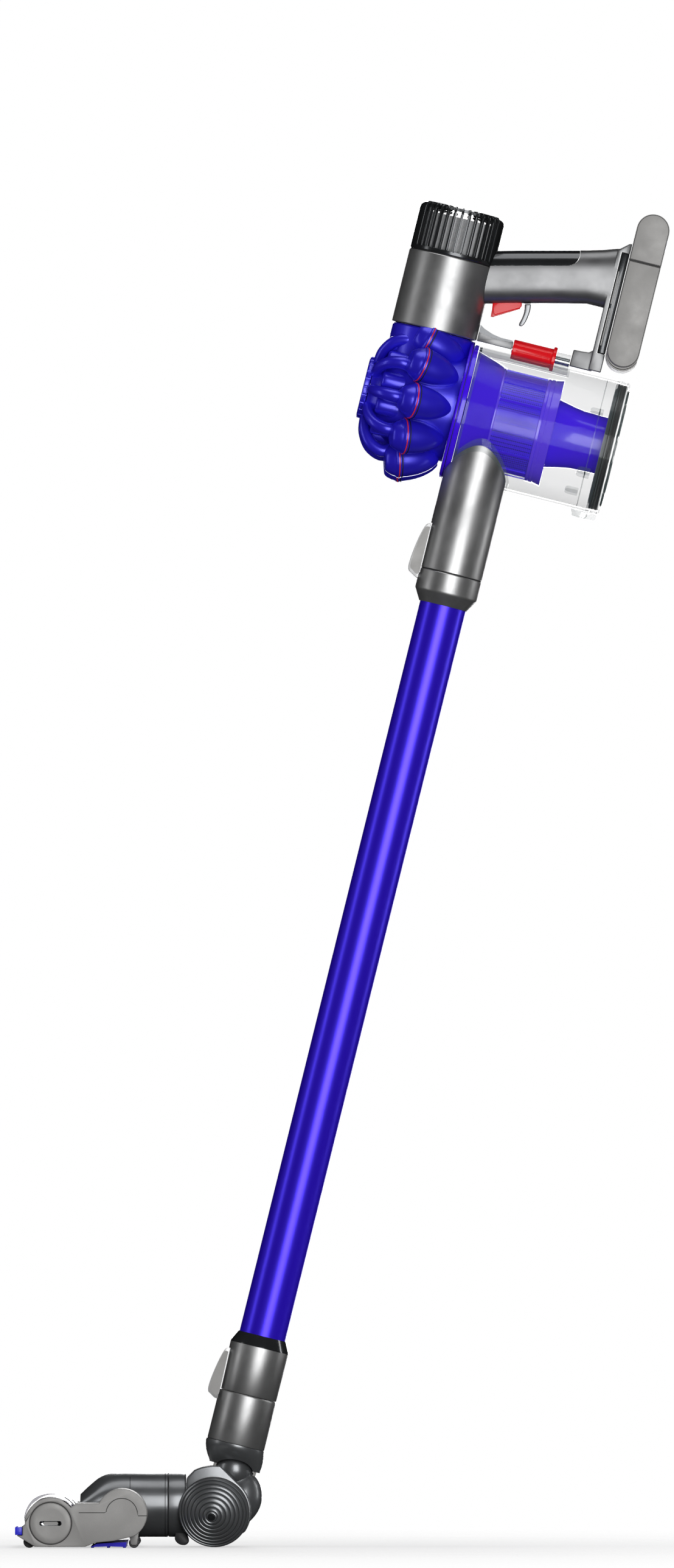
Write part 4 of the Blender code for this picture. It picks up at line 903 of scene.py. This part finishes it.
def build_trigger():
    outline = [(124.8, 1034.8), (128, 1035.4), (149.4, 1041.4), (150.6, 1043.4), (150.4, 1045.4),
        (149, 1047.2), (128, 1048.6), (126.2, 1048.4)]
    trigger = prism('trigger_blade', outline, HAND_Y - 6.2, HAND_Y + 6.2, False)
    place(soften(trigger, 0.9, 3), 'red', 'trigger', 'trigger')
    lip = [(124.3, 1034.2), (126, 1033.9), (148.8, 1040.6), (149.4, 1041.6), (128, 1035.8),
        (126.4, 1039.6), (125.2, 1039.4)]
    lip_piece = prism('trigger_lip', lip, HAND_Y - 6.6, HAND_Y + 6.6, False)
    place(soften(lip_piece, 0.3, 2), 'red_line', 'trigger')
    outline = smooth_path([(158.2, 1044.6), (157.2, 1038), (154, 1030), (151, 1026.2), (148.6, 1026.2),
        (148.2, 1028.2), (150.4, 1032.4), (152.4, 1038), (152.9, 1044.6)], 4)
    guard = prism('guard_blade', outline, HAND_Y - 10, HAND_Y + 10, False)
    place(soften(guard, 0.9, 3), 'gloss', 'handheld', 'finger_guard', slot='nickel')


def battery_outline(inset, low, high, steps=24):
    front, back = (82 + inset, 109.6 - inset)
    radius, middle = ((back - front) / 2, (front + back) / 2)
    outline = []
    if low < 342:
        outline += arc((middle, 337.5 + inset + radius), radius, 180, 360, steps)
    else:
        outline += [(front, low), (back, low)]
    if high > 464:
        outline += arc((middle, 469.3 - inset - radius), radius, 0, 180, steps)
    else:
        outline += [(back, high), (front, high)]
    return outline


def outline_line(name, inset, wide, low, high, side, reach):
    """A thin raised line that follows the battery's outline on one side."""
    rings = []
    for gap in (inset, inset + wide):
        for y in (33 - 0.6, 33 + reach):
            outline = battery_outline(gap, low + (gap if low > 342 else 0),
                high - (gap if high < 464 else 0))
            rings.append([(r, HAND_Y + side * y, s) for r, s in outline])
    rings = [rings[0], rings[1], rings[3], rings[2]]
    return raw(name, *skin(rings, True), True)


def build_battery():
    y = (HAND_Y - 33, HAND_Y + 33)
    case = soften(prism('battery_body', battery_outline(0, 337.5, 427), *y, True), 1.1, 3, 50)
    place(case, 'satin', 'handheld', 'battery_case', sharp=40)
    top = soften(prism('battery_top', battery_outline(0, 427.5, 469.3), *y, True), 1.1, 3, 50)
    button_axis = (0, HAND_Y, 447)
    cut(top, turned('button_room', [(6.5, 104.5), (6.5, 113)], 'x', button_axis, True, segments=48))
    place(top, 'satin', 'handheld', 'battery_cover', sharp=40)
    button = [(6.1, 107.9), (6.1, 109.2), (5.8, 109.7), (4, 109.8), (2.6, 109.5), (1, 109.4)]
    place(turned('battery_button', button, 'x', button_axis, True, segments=48), 'blue', 'power_button',
        'power_button')
    lines = []
    for side in (-1, 1):
        lines.append(outline_line(f'line_low_{side}', 0.5, 0.32, 337.5, 427, side, 0.05))
        lines.append(outline_line(f'line_top_{side}', 0.5, 0.32, 427.5, 469.3, side, 0.05))
        lines.append(slab(f'line_split_{side}', (82.4, 109.2),
            tuple(sorted((HAND_Y + side * 32.2, HAND_Y + side * 33.06))), (427, 427.55), True))
    place(gather('battery_lines', lines), 'line', 'handheld')
    seam = slab('battery_seam', (82.3, 109.3), (HAND_Y - 32.7, HAND_Y + 32.7), (426.9, 427.6), True)
    place(seam, 'line', 'handheld')
    shelf = []
    for s_shift in (-1.4, -3.2):
        outline = arc((95.8, 351.3 + s_shift), 13.8, 186, 345, 24) + arc((95.8, 351.3 + s_shift + 1.2),
            13.6, 345, 186, 24)
        shelf.append(prism(f'shelf_{s_shift}', outline, HAND_Y - 30.5, HAND_Y + 30.5, True))
    place(soften(gather('battery_shelf', shelf), 0.2, 1), 'satin', 'handheld')


# ---------------- wand and neck

def build_wand():
    tube = [(19.7, -537.9), (19.7, 130.5), (18.1, 130.5), (18.1, -537.9)]
    place(on_wand('wand_body', tube, True, 128), 'tube', 'wand', 'wand_tube')
    collar = [(19.9, 107), (20.6, 107), (25.8, 116), (26.4, 117), (26.6, 118.4), (26.6, 133.2),
        (26.2, 133.8), (19.2, 133.8), (19.2, 172), (18.4, 173.6), (17, 174), (17, 131), (19.9, 131)]
    place(on_wand('wand_top_collar', collar, True, 128), 'nickel', 'wand', 'wand_collar')
    socket = [(19.9, -525), (20.6, -525.2), (24.6, -533.6), (25, -535), (24.4, -575.2), (24.1, -575.8),
        (19.7, -575.8), (19.7, -541), (18.2, -541), (18.2, -538.2), (19.9, -538.2)]
    lower = on_wand('wand_low_socket', socket, True, 128)
    cut(lower, slab('button_room', (-32, -21.4), (-7.6, 7.6), (-590, -541), True))
    place(lower, 'nickel', 'wand', 'wand_socket')
    cone = [(20.5, -524.95), (24.75, -533.5), (25.12, -534.7), (24.6, -535.2), (20.5, -526.6)]
    place(on_wand('socket_cone', cone, True, 128), 'cover', 'wand')
    outline = [(-22.9, -541.6), (-27.2, -542), (-30, -550), (-32.4, -562), (-33.8, -573), (-33.6, -579),
        (-31.4, -581.8), (-22.9, -582)]
    build_catch('wand_catch', outline, 27, 'wand_button', 'wand_button')


def build_neck():
    sleeve = [(23.9, -576.3), (24.3, -576.8), (24.5, -578), (24.5, -617.6), (24.2, -618.3), (18, -618.3),
        (17, -612), (17, -548), (18.6, -548), (19.2, -549), (19.2, -576.3)]
    place(on_wand('neck_tube', sleeve, True, 128), 'nickel', 'neck', 'neck_sleeve')
    washer = [(19, -576.5), (23.8, -576.5), (23.8, -575.95), (19.4, -575.95)]
    washer = on_wand('neck_washer', washer, True)
    cut(washer, slab('washer_gap', (-32, -18), (-7.6, 7.6), (-580, -570), True))
    place(washer, 'line', 'neck')
    shape = [(22.8, -618.9), (24.2, -618.9), (24.2, -618), (22.8, -618)]
    place(on_wand('neck_seam', shape, True), 'line', 'neck')
    rings = []
    for s, centre, a, b in ((-618.7, 0, 24.9, 24.9), (-620.5, 0, 25.2, 25.1), (-624, 0.6, 25.1, 23.8),
            (-628, 1.4, 24.6, 21.4), (-633, 2.7, 23.2, 17.2), (-637.3, 3.8, 21.8, 13)):
        rings.append(circle(a, s, 'z', (centre, 0, 0), 96, b))
    yoke = raw('yoke', *skin(rings), True)
    cavity = []
    for i in range(1, 24):
        angle = math.pi * i / 24
        flat, height = (math.sin(angle), math.cos(angle) * 17.6)
        cavity.append(circle(17.2 * flat, height, 'z', (4, 0, -639), 64, 21.5 * flat))
    cut(yoke, raw('cavity', *skin(cavity), True), turned('bore', [(14.5, -616), (14.5, -632)], 'z',
        (2, 0, 0), True, segments=64), turned('pin_room', [(2.65, -30), (2.65, 30)], 'x', (0, 0, -635),
        True, segments=32))
    place(yoke, 'gloss', 'neck', 'swivel_yoke', sharp=40)
    pads = []
    for front, back in ((-14.2, -11.8), (19.9, 22.4)):
        outline = [(front, -641), (back, -641), (back + 0.6, -633), (front + 0.4, -632)]
        pads.append(prism(f'pad_{front}', outline, -7, 7, True))
    pads = [soften(pad, 0.4, 2) for pad in pads]
    # the pads sit just inside the yoke's arms, beside the ball
    place(gather('yoke_pads', pads), 'satin', 'neck')
    for name, low, high in (('pin_front', -18, -7), ('pin_rear', 14, 25.2)):
        pin = turned(name, [(2.3, low), (2.3, high)], 'x', (0, 0, -635), True, segments=32)
        place(pin, 'steel', 'neck', 'swivel_' + name)


def build_elbow():
    sections = smooth_path([(-91.8, 64.6, 14.6, 11.3), (-90.6, 59.4, 14.4, 11.4),
        (-88.2, 53.6, 15.4, 12.8), (-85.6, 47, 17, 16.2), (-86, 40, 17.6, 17.5), (-91, 33.6, 17.6, 17.6),
        (-98, 29.2, 17, 17)], 6)
    rings = []
    for k, (x, z, reach, half) in enumerate(sections):
        before, after = (sections[max(k - 1, 0)], sections[min(k + 1, len(sections) - 1)])
        along = Vector((after[0] - before[0], 0, after[1] - before[1])).normalized()
        rings.append([(x - along.z * reach * math.cos(turn), half * math.sin(turn),
            z + along.x * reach * math.cos(turn)) for turn in (2 * math.pi * i / 72 for i in range(72))])
    pipe = raw('pipe', *skin(rings), False)
    ball_x, ball_z = (leaned((4, 0, -640))[0], leaned((4, 0, -640))[2])
    rings = []
    for i in range(1, 32):
        angle = math.pi * i / 32
        rings.append(circle(15.8 * math.sin(angle), 15.8 * math.cos(angle), 'z', (ball_x, 0, ball_z), 72))
    ball = raw('ball', *skin(rings), False)
    drum_shape = [(20, -18.6), (20.9, -17.8), (20.9, 17.8), (20, 18.6)]
    drum = turned('drum', drum_shape, 'y', PIVOT, False)
    heel_shape = [(18.2, -17.4), (20.6, -14.5), (20.6, 14.5), (18.2, 17.4)]
    heel = turned('heel', heel_shape, 'y', (-97.4, 0, 30.1), False)
    join(pipe, ball, drum, heel)
    cut(pipe, turned('pin_room', [(2.65, -30), (2.65, 30)], 'x', (0, 0, -635), True, segments=32),
        turned('axle_room', [(3.4, -30), (3.4, 30)], 'y', PIVOT, False, segments=32))
    place(pipe, 'gloss', 'elbow', 'elbow_pipe', sharp=55)


# ---------------- carriage and wheels

def build_carriage():
    centre = (PIVOT[0], PIVOT[2])
    outline = arc(centre, 31, -35, 50, 20) + arc(centre, 38.5, 82, 116, 12)
    outline += [(-131.4, 58), (-131.6, 54), (-131.6, 14), (-129, 9.4), (-124, 6.2)] + arc(centre, 26.5,
        -112, -50, 14)
    carriage = prism('hood', outline, -22.2, 22.2, False)
    soften(carriage, 1.4, 3, 40)
    cut(carriage, slab('channel', (-129.9, -60), (-19.3, 19.3), (-20, 90), False),
        on_duct('airway', [(15, -140), (15, -120)], segments=64),
        turned('axle_room', [(5.6, -40), (5.6, 40)], 'y', PIVOT, False, segments=48))
    place(carriage, 'gloss', 'carriage', 'pivot_carriage', sharp=40)
    ring = [(26.2, -146.9), (26.9, -146.2), (27, -145), (27, -136), (26.6, -133), (25.2, -131.9),
        (17, -131.9), (17, -146.9)]
    place(on_duct('collar', ring, True, 128), 'gloss', 'carriage', 'swivel_collar')
    rings = []
    for x, wide, high, z in ((-132.2, 26.6, 26.6, 35.3), (-128, 25.4, 26.4, 35.4),
            (-122, 22.4, 25.6, 36.6), (-114, 21.9, 24, 38.6)):
        rings.append(circle(wide, x, 'x', (0, 0, z), 96, high))
    shoulder = raw('shoulder', *skin(rings), False)
    cut(shoulder, slab('channel', (-131.9, -60), (-19.3, 19.3), (-20, 90), False),
        on_duct('airway', [(17, -140), (17, -100)], segments=64),
        turned('drum_room', [(21.6, -40), (21.6, 40)], 'y', PIVOT, False, segments=64))
    place(shoulder, 'gloss', 'carriage', sharp=50)
    feet = []
    for side in (-1, 1):
        outline = smooth_path([(-141, 12), (-141.2, 6), (-137.6, 2.2), (-132.4, 1.6), (-129.6, 4.4),
            (-130.6, 9.4), (-133, 13)], 4)
        low, high = sorted((side * 9, side * 13))
        feet.append(prism(f'skid_{side}', outline, low, high, False))
    place(soften(gather('carriage_skids', feet), 0.8, 2), 'black', 'carriage')


def build_wheels():
    rings_at = [29.8, 27.4, 24.9, 21.9, 18.6, 15, 11.2, 7.6, 4.6]
    for side, name in ((-1, 'wheel_left'), (1, 'wheel_right')):
        outward = Vector((-0.091, side * 0.978, -0.187)).normalized()
        centre = Vector((PIVOT[0], side * 29.6, 29.85))
        shape = [(3.3, 0), (28.9, 0), (29.6, 0.5), (29.8, 1.4), (29.8, 2.6)]
        top = 3
        for out, low in zip(rings_at, rings_at[1:]):
            top += 2.45
            shape += [(out - 0.3, top - 1.5), (out - 0.55, top - 0.5), (out - 1.15, top),
                (low + 0.9, top + 0.35), (low + 0.25, top + 0.1), (low, top - 0.35)]
        shape += [(4.4, 23), (3.9, 23.8), (3.3, 24)]
        profile = [(height / 24, radius) for radius, height in shape]
        piece = spindle(name + '_disc', centre, centre + outward * 24, profile, False, 112, True)
        place(piece, 'gloss', name, name, sharp=30)
        tread = band(name + '_tread', centre, centre + outward * 24, 0.085, 29.95, 0.8, 0.8, False, 112)
        place(tread, 'rubber', name)
        shape = [(0.94, 3.5), (0.99, 3.5), (1.01, 3.1), (1.015, 2), (0.985, 1.6), (0.985, 0.6)]
        cap = spindle(name + '_cap', centre, centre + outward * 24, shape, False, 48)
        place(cap, 'gunmetal', name, slot='dark_gloss')
HEAD_HALF = 121.5
CAP_HALF = 125
MOTOR = (-186, 0, 24)


# ---------------- floor head

def head_outline():
    outline = [(-272.8, 10.5), (-267.9, 10.5), (-267.9, 18.4)] + arc((BRUSH_X, BRUSH_Z), 21.5, 184, 38,
        48)
    outline += [(-223, 37.5)] + arc((REAR_X, REAR_Z), 21.1, 154.8, -62, 56)
    outline += [(-192, 6), (-206.5, 4.6), (-215.6, 1.2), (-257.9, 1.2)]
    return outline


def duct_sections():
    rough = [(-147.4, 27, 27, COLLAR_Z), (-165, 27, 27, COLLAR_Z), (-190, 27, 27, COLLAR_Z),
        (-203, 29, 24, 35), (-213, 32.5, 17.4, 34), (-220.6, 36, 10.8, 33.4)]
    return smooth_path(rough, 4)


def duct_room(name, near):
    sections = duct_sections()
    sections = [(-130, *sections[0][1:]), *sections, (-228, *sections[-1][1:])]
    rings = [circle(wide + near, x, 'x', (0, 0, z), 64, high + near) for x, wide, high, z in sections]
    return raw(name, *skin(rings), False)


def build_head():
    base = prism('head_body', head_outline(), -HEAD_HALF, HEAD_HALF, False)
    wall = HEAD_HALF - 3
    belt_room = [(MOTOR[0], 32), (BRUSH_X, BRUSH_Z + 10.8), (BRUSH_X, BRUSH_Z - 10.8), (MOTOR[0], 16)]
    window = arc((BRUSH_X, BRUSH_Z), 26.5, 177, 29, 32) + arc((BRUSH_X, BRUSH_Z), 21.9, 29, 177, 32)
    rooms = [on_brush('chamber', [(20.3, -wall), (20.3, wall)]), slab('mouth', (-261, -229),
        (-wall, wall), (-4, 14), False), turned('motor_room', [(14.4, 38), (14.4, 130)], 'y', MOTOR,
        False, segments=48), turned('side_room', [(14.4, -130), (14.4, -38)], 'y', MOTOR, False,
        segments=48), prism('belt_room', belt_room, 104, wall, False), duct_room('duct_room', 0.3),
        prism('window_room', window, -130, 130, False)]
    for side in (-1, 1):
        low, high = sorted((side * 103, side * 113))
        rooms.append(turned(f'roller_room_{side}', [(5.8, low), (5.8, high)], 'y', (-262.4, 0, 5.2),
            False, segments=40))
        low, high = sorted((side * 115, side * 130))
        rooms.append(on_brush(f'journal_{side}', [(4, low), (4, high)], segments=32))
    cut(base, *rooms)
    place(base, 'satin', 'head', 'head_base', sharp=35)
    lugs = []
    for side in (-1, 1):
        for edge in (102, 113.4):
            low, high = sorted((side * edge, side * (edge + 2.2)))
            outline = [(-179.6, 14.4), (-177.6, 3.4), (-176.6, 2.6), (-173.4, 2.6), (-172.4, 3.2),
                (-170.6, 14.6)]
            lugs.append(soften(prism(f'lug_{side}_{edge}', outline, low, high, False), 0.4, 2))
    place(gather('roller_lugs', lugs), 'satin', 'head')
    glass = arc((BRUSH_X, BRUSH_Z), 25.1, 176, 30, 56) + arc((BRUSH_X, BRUSH_Z), 22.2, 30, 176, 56)
    pane = prism('window_pane', glass, -HEAD_HALF, HEAD_HALF, False)
    cut(pane, duct_room('glass_room', 0.3))
    place(pane, 'smoke', 'head', 'brush_window', sharp=50)
    lip = arc((BRUSH_X, BRUSH_Z), 25.25, 62, 30, 16) + arc((BRUSH_X, BRUSH_Z), 24.3, 30, 62, 16)
    edge = prism('window_frame', lip, -HEAD_HALF, HEAD_HALF, False)
    cut(edge, duct_room('edge_room', 0.4))
    place(edge, 'gloss', 'head', sharp=50)


def seam_path(grow):
    """The end cap's parting line: level, over the rear arch, down to the back edge."""
    top = arc((REAR_X, REAR_Z), 13.2 + grow, 172, 8, 24)
    return [(-221, 29.7 + grow), (-199.6, 29.7 + grow)] + top + [(-171.4, 27.1 + grow),
        (-164, 27.1 + grow)]


def build_end_caps():
    lock_room = on_brush('lock_room', [(17.8, -130), (17.8, -118)], segments=96)
    left = prism('cap_left', head_outline(), -CAP_HALF, -HEAD_HALF - 0.3, False)
    cut(left, lock_room)
    right = prism('cap_right', head_outline(), HEAD_HALF + 0.3, CAP_HALF, False)
    for side, cap, name in ((-1, left, 'end_cap_left'), (1, right, 'end_cap_right')):
        soften(cap, 0.7, 3, 50)
        low, high = sorted((side * (CAP_HALF - 0.7), side * (CAP_HALF + 0.6)))
        line = prism('line_room', seam_path(-0.35) + seam_path(0.25)[::-1], low, high, False)
        cut(cap, line)
        place(cap, 'satin', 'head', name, sharp=40)
        low, high = sorted((side * (CAP_HALF - 0.66), side * (CAP_HALF - 0.3)))
        filler = prism(f'cap_line_{side + 1}', seam_path(-0.32) + seam_path(0.22)[::-1], low, high, False)
        place(filler, 'line', 'head')
        low, high = sorted((side * (HEAD_HALF - 0.02), side * (HEAD_HALF + 0.32)))
        gasket = prism(f'cap_gasket_{side + 1}', head_outline(), low, high, False)
        cut(gasket, on_brush('hole', [(20.4, -140), (20.4, 140)], segments=64),
            turned('hole_back', [(14.5, -140), (14.5, 140)], 'y', MOTOR, False, segments=48))
        place(gasket, 'line', 'head')
    ring = [(17.45, -121.9), (17.75, -121.9), (17.75, -124.6), (17.45, -124.6)]
    place(on_brush('lock_ring', ring, True), 'line', 'head')
    shape = [(17.3, -122), (17.3, -124.3), (17, -124.7), (16.3, -125), (12, -124.8), (1, -124.7)]
    lock = on_brush('lock_disc', shape)
    slot_outline = arc((BRUSH_X - 7.4, BRUSH_Z), 2, 90, 270, 12) + arc((BRUSH_X + 7.4, BRUSH_Z), 2, 270,
        450, 12)
    cut(lock, prism('slot_room', slot_outline, -130, -123.2, False))
    place(lock, 'satin', 'end_lock', 'end_cap_lock', sharp=30)
    cup = []
    for y, share in ((-123.1, 0.55), (-123.3, 0.8), (-123.9, 0.94), (-124.72, 0.99)):
        cup.append([(BRUSH_X + (x - BRUSH_X) * share, y, BRUSH_Z + (z - BRUSH_Z) * share) for x,
            z in slot_outline])
    back = [[(x, y + 0.35, z) for x, y, z in ring_points] for ring_points in reversed(cup)]
    place(raw('lock_slot', *skin(cup + back, True), False), 'chrome', 'end_lock')


def build_front():
    bumper = slab('bumper', (-274.3, -268.4), (-122.8, 122.8), (11, 17.5), False)
    place(soften(bumper, 0.5, 2), 'bumper', 'head', 'front_bumper', sharp=60)
    backing = prism('bumper_rubber', [(-268.35, 10.8), (-267.95, 10.8), (-267.95, 18.2), (-268.35, 18.2)],
        -121, 121, False)
    place(backing, 'rubber', 'head')
    outline = [(-211, 0.8), (-196, 1.4), (-182, 0.9), (-181, 5), (-190, 4.6), (-206.2, 3.6)]
    strip = prism('felt_strip', outline, -118, 118, False)
    place(strip, 'felt', 'head', 'sole_strip')
    fibres = []
    for i in range(118):
        y = -117 + 2 * i
        wobble = math.sin(i * 2.4) * 0.9
        for front in (-210.4, -197, -183.6):
            outline = [(front - 0.5, 1.6), (front + 0.7, 1.6), (front + 0.9 + wobble, 0.15),
                (front + 0.5 + wobble, 0.12)]
            fibres.append(prism(f'fibre_{i}_{front}', outline, y, y + 0.9 + 0.3 * math.cos(i * 1.7),
                False))
    place(gather('felt_fibres', fibres), 'felt', 'head')


def build_duct():
    sections = duct_sections()
    rings = [circle(wide, x, 'x', (0, 0, z), 96, high) for x, wide, high, z in sections]
    rings += [circle(wide - 2.2, x, 'x', (0, 0, z), 96, high - 2.2) for x, wide, high,
        z in reversed(sections)]
    place(raw('duct', *skin(rings, True), False), 'gloss', 'head', 'duct_pipe', sharp=50)
    seams = []
    for x in (-178.8, -149.4):
        shape = [(26.8, x - 0.25), (27.12, x - 0.25), (27.12, x + 0.25), (26.8, x + 0.25)]
        seams.append(on_duct(f'duct_seam_{x}', shape, True))
    seams.append(on_duct('duct_lip', [(24.4, -147.8), (26.5, -147.8), (26.5, -147), (24.4, -147)], True))
    place(gather('duct_seams', seams), 'line', 'head')


def build_brush():
    shape = [(3.7, -120.8), (3.7, -117.2), (13.4, -116.8), (14, -116), (14, -103.4), (18.6, -102.8),
        (19.3, -102)]
    shape += [(19.3, 102), (18.6, 102.6), (12, 103.2), (8, 104.6), (8, 117), (3.7, 117.4), (3.7, 120.8)]
    place(on_brush('brush_roll', shape, segments=72), 'pile', 'brush', 'brush_bar')
    rows = []
    for start_angle in range(0, 360, 60):
        rings = []
        for k in range(61):
            y = -101 + 202 * k / 60
            middle = math.radians(start_angle + 110 * k / 60)
            ring = []
            for reach, turn in ((18.6, -0.045), (20.3, -0.03), (20.3, 0.03), (18.6, 0.045)):
                ring.append((BRUSH_X + reach * math.cos(middle + turn), y,
                    BRUSH_Z + reach * math.sin(middle + turn)))
            rings.append(ring)
        rows.append(raw(f'row_{start_angle}', *skin(rings), False))
    place(gather('bristle_rows', rows), 'bristle', 'brush')


def build_rollers():
    for side, end in ((-1, 'left'), (1, 'right')):
        for name, centre, radius, low, high in (('rear_roller', (-174.9, 0, 4.4), 4.3, 105, 112.8),
                ('front_roller', (-262.4, 0, 5.2), 5, 103.6, 112.4)):
            middle = (low + high) / 2
            shape = [(1.2, low), (radius - 0.6, low), (radius, low + 0.7), (radius, middle - 0.8),
                (radius - 0.5, middle - 0.4), (radius - 0.5, middle + 0.4), (radius, middle + 0.8),
                (radius, high - 0.7), (radius - 0.6, high), (1.2, high)]
            shape = [(out, side * y) for out, y in shape]
            node_name = f'{name}_{end}'
            roller = turned(node_name + '_wheel', shape, 'y', centre, False, segments=48)
            place(roller, 'black', node_name, node_name)


# ---------------- the pieces that stay as built

INNER_LOOKS = {
    'motor_stator': 'black',
    'motor_impeller': 'steel',
    'control_board': 'board',
    'trigger_switch': 'black',
    'battery_cells': 'steel',
    'drive_belt': 'rubber',
    'brush_motor': 'steel',
    'motor_pulley': 'steel',
    'wheel_axle': 'steel',
    'lid_hinge_pin': 'steel',
}


def dress_inner_pieces():
    for name, look in INNER_LOOKS.items():
        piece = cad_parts[name]
        piece.data.materials.clear()
        piece.data.materials.append(LOOKS[look])
        piece.data.shade_smooth()
        piece.data.set_sharp_from_angle(angle=math.radians(32))


# ---------------- stage, light and camera

def pale(name, color, shadow_pool_alpha):
    """The studio's floor: nearly white, faintly mottled, with a painted shadow pool that is densest near
    the middle and thins out into the white surroundings.
    """
    look, tree, shader = start(name)
    cloud = noise(tree, coordinates(tree), 1.3, 3)
    tone = ramp(tree, cloud, [(0.3, tinted(color, 0.985)), (0.7, tinted(color, 1))])
    tree.links.new(tone, shader.inputs['Base Color'])
    shader.inputs['Roughness'].default_value = 0.85
    shader.inputs['Specular IOR Level'].default_value = 0.1
    # painted shadow: the floor is densest near the middle, where it shows as a grey pool standing in for
    # the object's shadow, and turns fully clear further out; it is never fully dense, so what lies below
    # it shows through
    distance = tree.nodes.new('ShaderNodeVectorMath')
    distance.operation = 'LENGTH'
    tree.links.new(coordinates(tree, (0.9, 1.9, 1)), distance.inputs[0])
    shadow_pool_fade = ramp(tree, distance.outputs['Value'], [(0.1, shadow_pool_alpha), (0.5, shadow_pool_alpha * 0.35), (1, 0)])
    tree.links.new(shadow_pool_fade, shader.inputs['Alpha'])
    return look


def build_stage():
    """A wide round floor with a painted shadow pool in its middle, fading into the white surroundings."""
    ring = circle(FLOOR_RADIUS, 0, 'z', (0, 0, 0), 96)
    mesh = bpy.data.meshes.new('studio_floor')
    mesh.from_pydata(ring, [], [tuple(range(96))])
    mesh.materials.append(pale('studio_white', (0.93, 0.93, 0.925), 0.55))
    floor = bpy.data.objects.new('studio_floor', mesh)
    bpy.context.collection.objects.link(floor)
    floor.visible_glossy = False


def softbox(name, place_at, aim, size, power, mirrored=True):
    light = bpy.data.lights.new(name, 'AREA')
    light.shape = 'RECTANGLE'
    light.size, light.size_y = size
    light.energy = power
    made = bpy.data.objects.new(name, light)
    made.location = place_at
    made.rotation_euler = (Vector(aim) - Vector(place_at)).to_track_quat('-Z', 'Y').to_euler()
    made.visible_glossy = mirrored
    bpy.context.collection.objects.link(made)


def build_light():
    softbox('key_strip', (0.52, -2.9, 0.8), (0.05, 0, 0.65), (1.55, 2.1), 62)
    softbox('left_fill', (-2.6, -0.6, 1.2), (0, 0, 0.5), (0.5, 2.2), 8)
    softbox('right_rim', (2.4, 0.5, 1), (0.1, 0, 0.7), (0.25, 2.2), 9)
    softbox('back_strip', (0.3, 2.9, 0.9), (0.05, 0, 0.6), (1.3, 2), 50)
    softbox('side_left', (-2.9, 0.2, 1), (0, 0, 0.5), (1.2, 1.8), 26, False)
    softbox('side_right', (2.9, 0.2, 1), (0, 0, 0.5), (1.2, 1.8), 26, False)
    softbox('top_soft', (0.2, -0.4, 2.9), (0, 0, 0.5), (1.6, 1.4), 16)
    world = bpy.data.worlds.new('studio')
    world.use_nodes = True
    tree = world.node_tree
    tree.nodes['Background'].inputs['Color'].default_value = (1, 1, 1, 1)
    bpy.context.scene.world = world
    world.cycles_visibility.glossy = False
    world.cycles_visibility.diffuse = False


def build_camera():
    lens = bpy.data.cameras.new('studio_camera')
    lens.lens = CAMERA_LENS
    lens.sensor_width = 36
    lens.clip_end = CAMERA_REACH
    camera = bpy.data.objects.new('studio_camera', lens)
    camera.location = CAMERA_AT
    camera.rotation_euler = (math.radians(CAMERA_TILT), 0, 0)
    bpy.context.collection.objects.link(camera)
    bpy.context.scene.camera = camera
    bpy.context.scene.view_settings.view_transform = 'Standard'
for build in (build_motor, build_exhaust, build_cyclones, build_filter_stick, build_shroud, build_bin,
        build_lid, build_rail, build_inlet, build_handle, build_trigger, build_battery, build_wand,
        build_neck, build_elbow, build_carriage, build_wheels, build_head, build_end_caps, build_front,
        build_duct, build_brush, build_rollers, dress_inner_pieces, build_stage, build_light,
        build_camera):
    build()
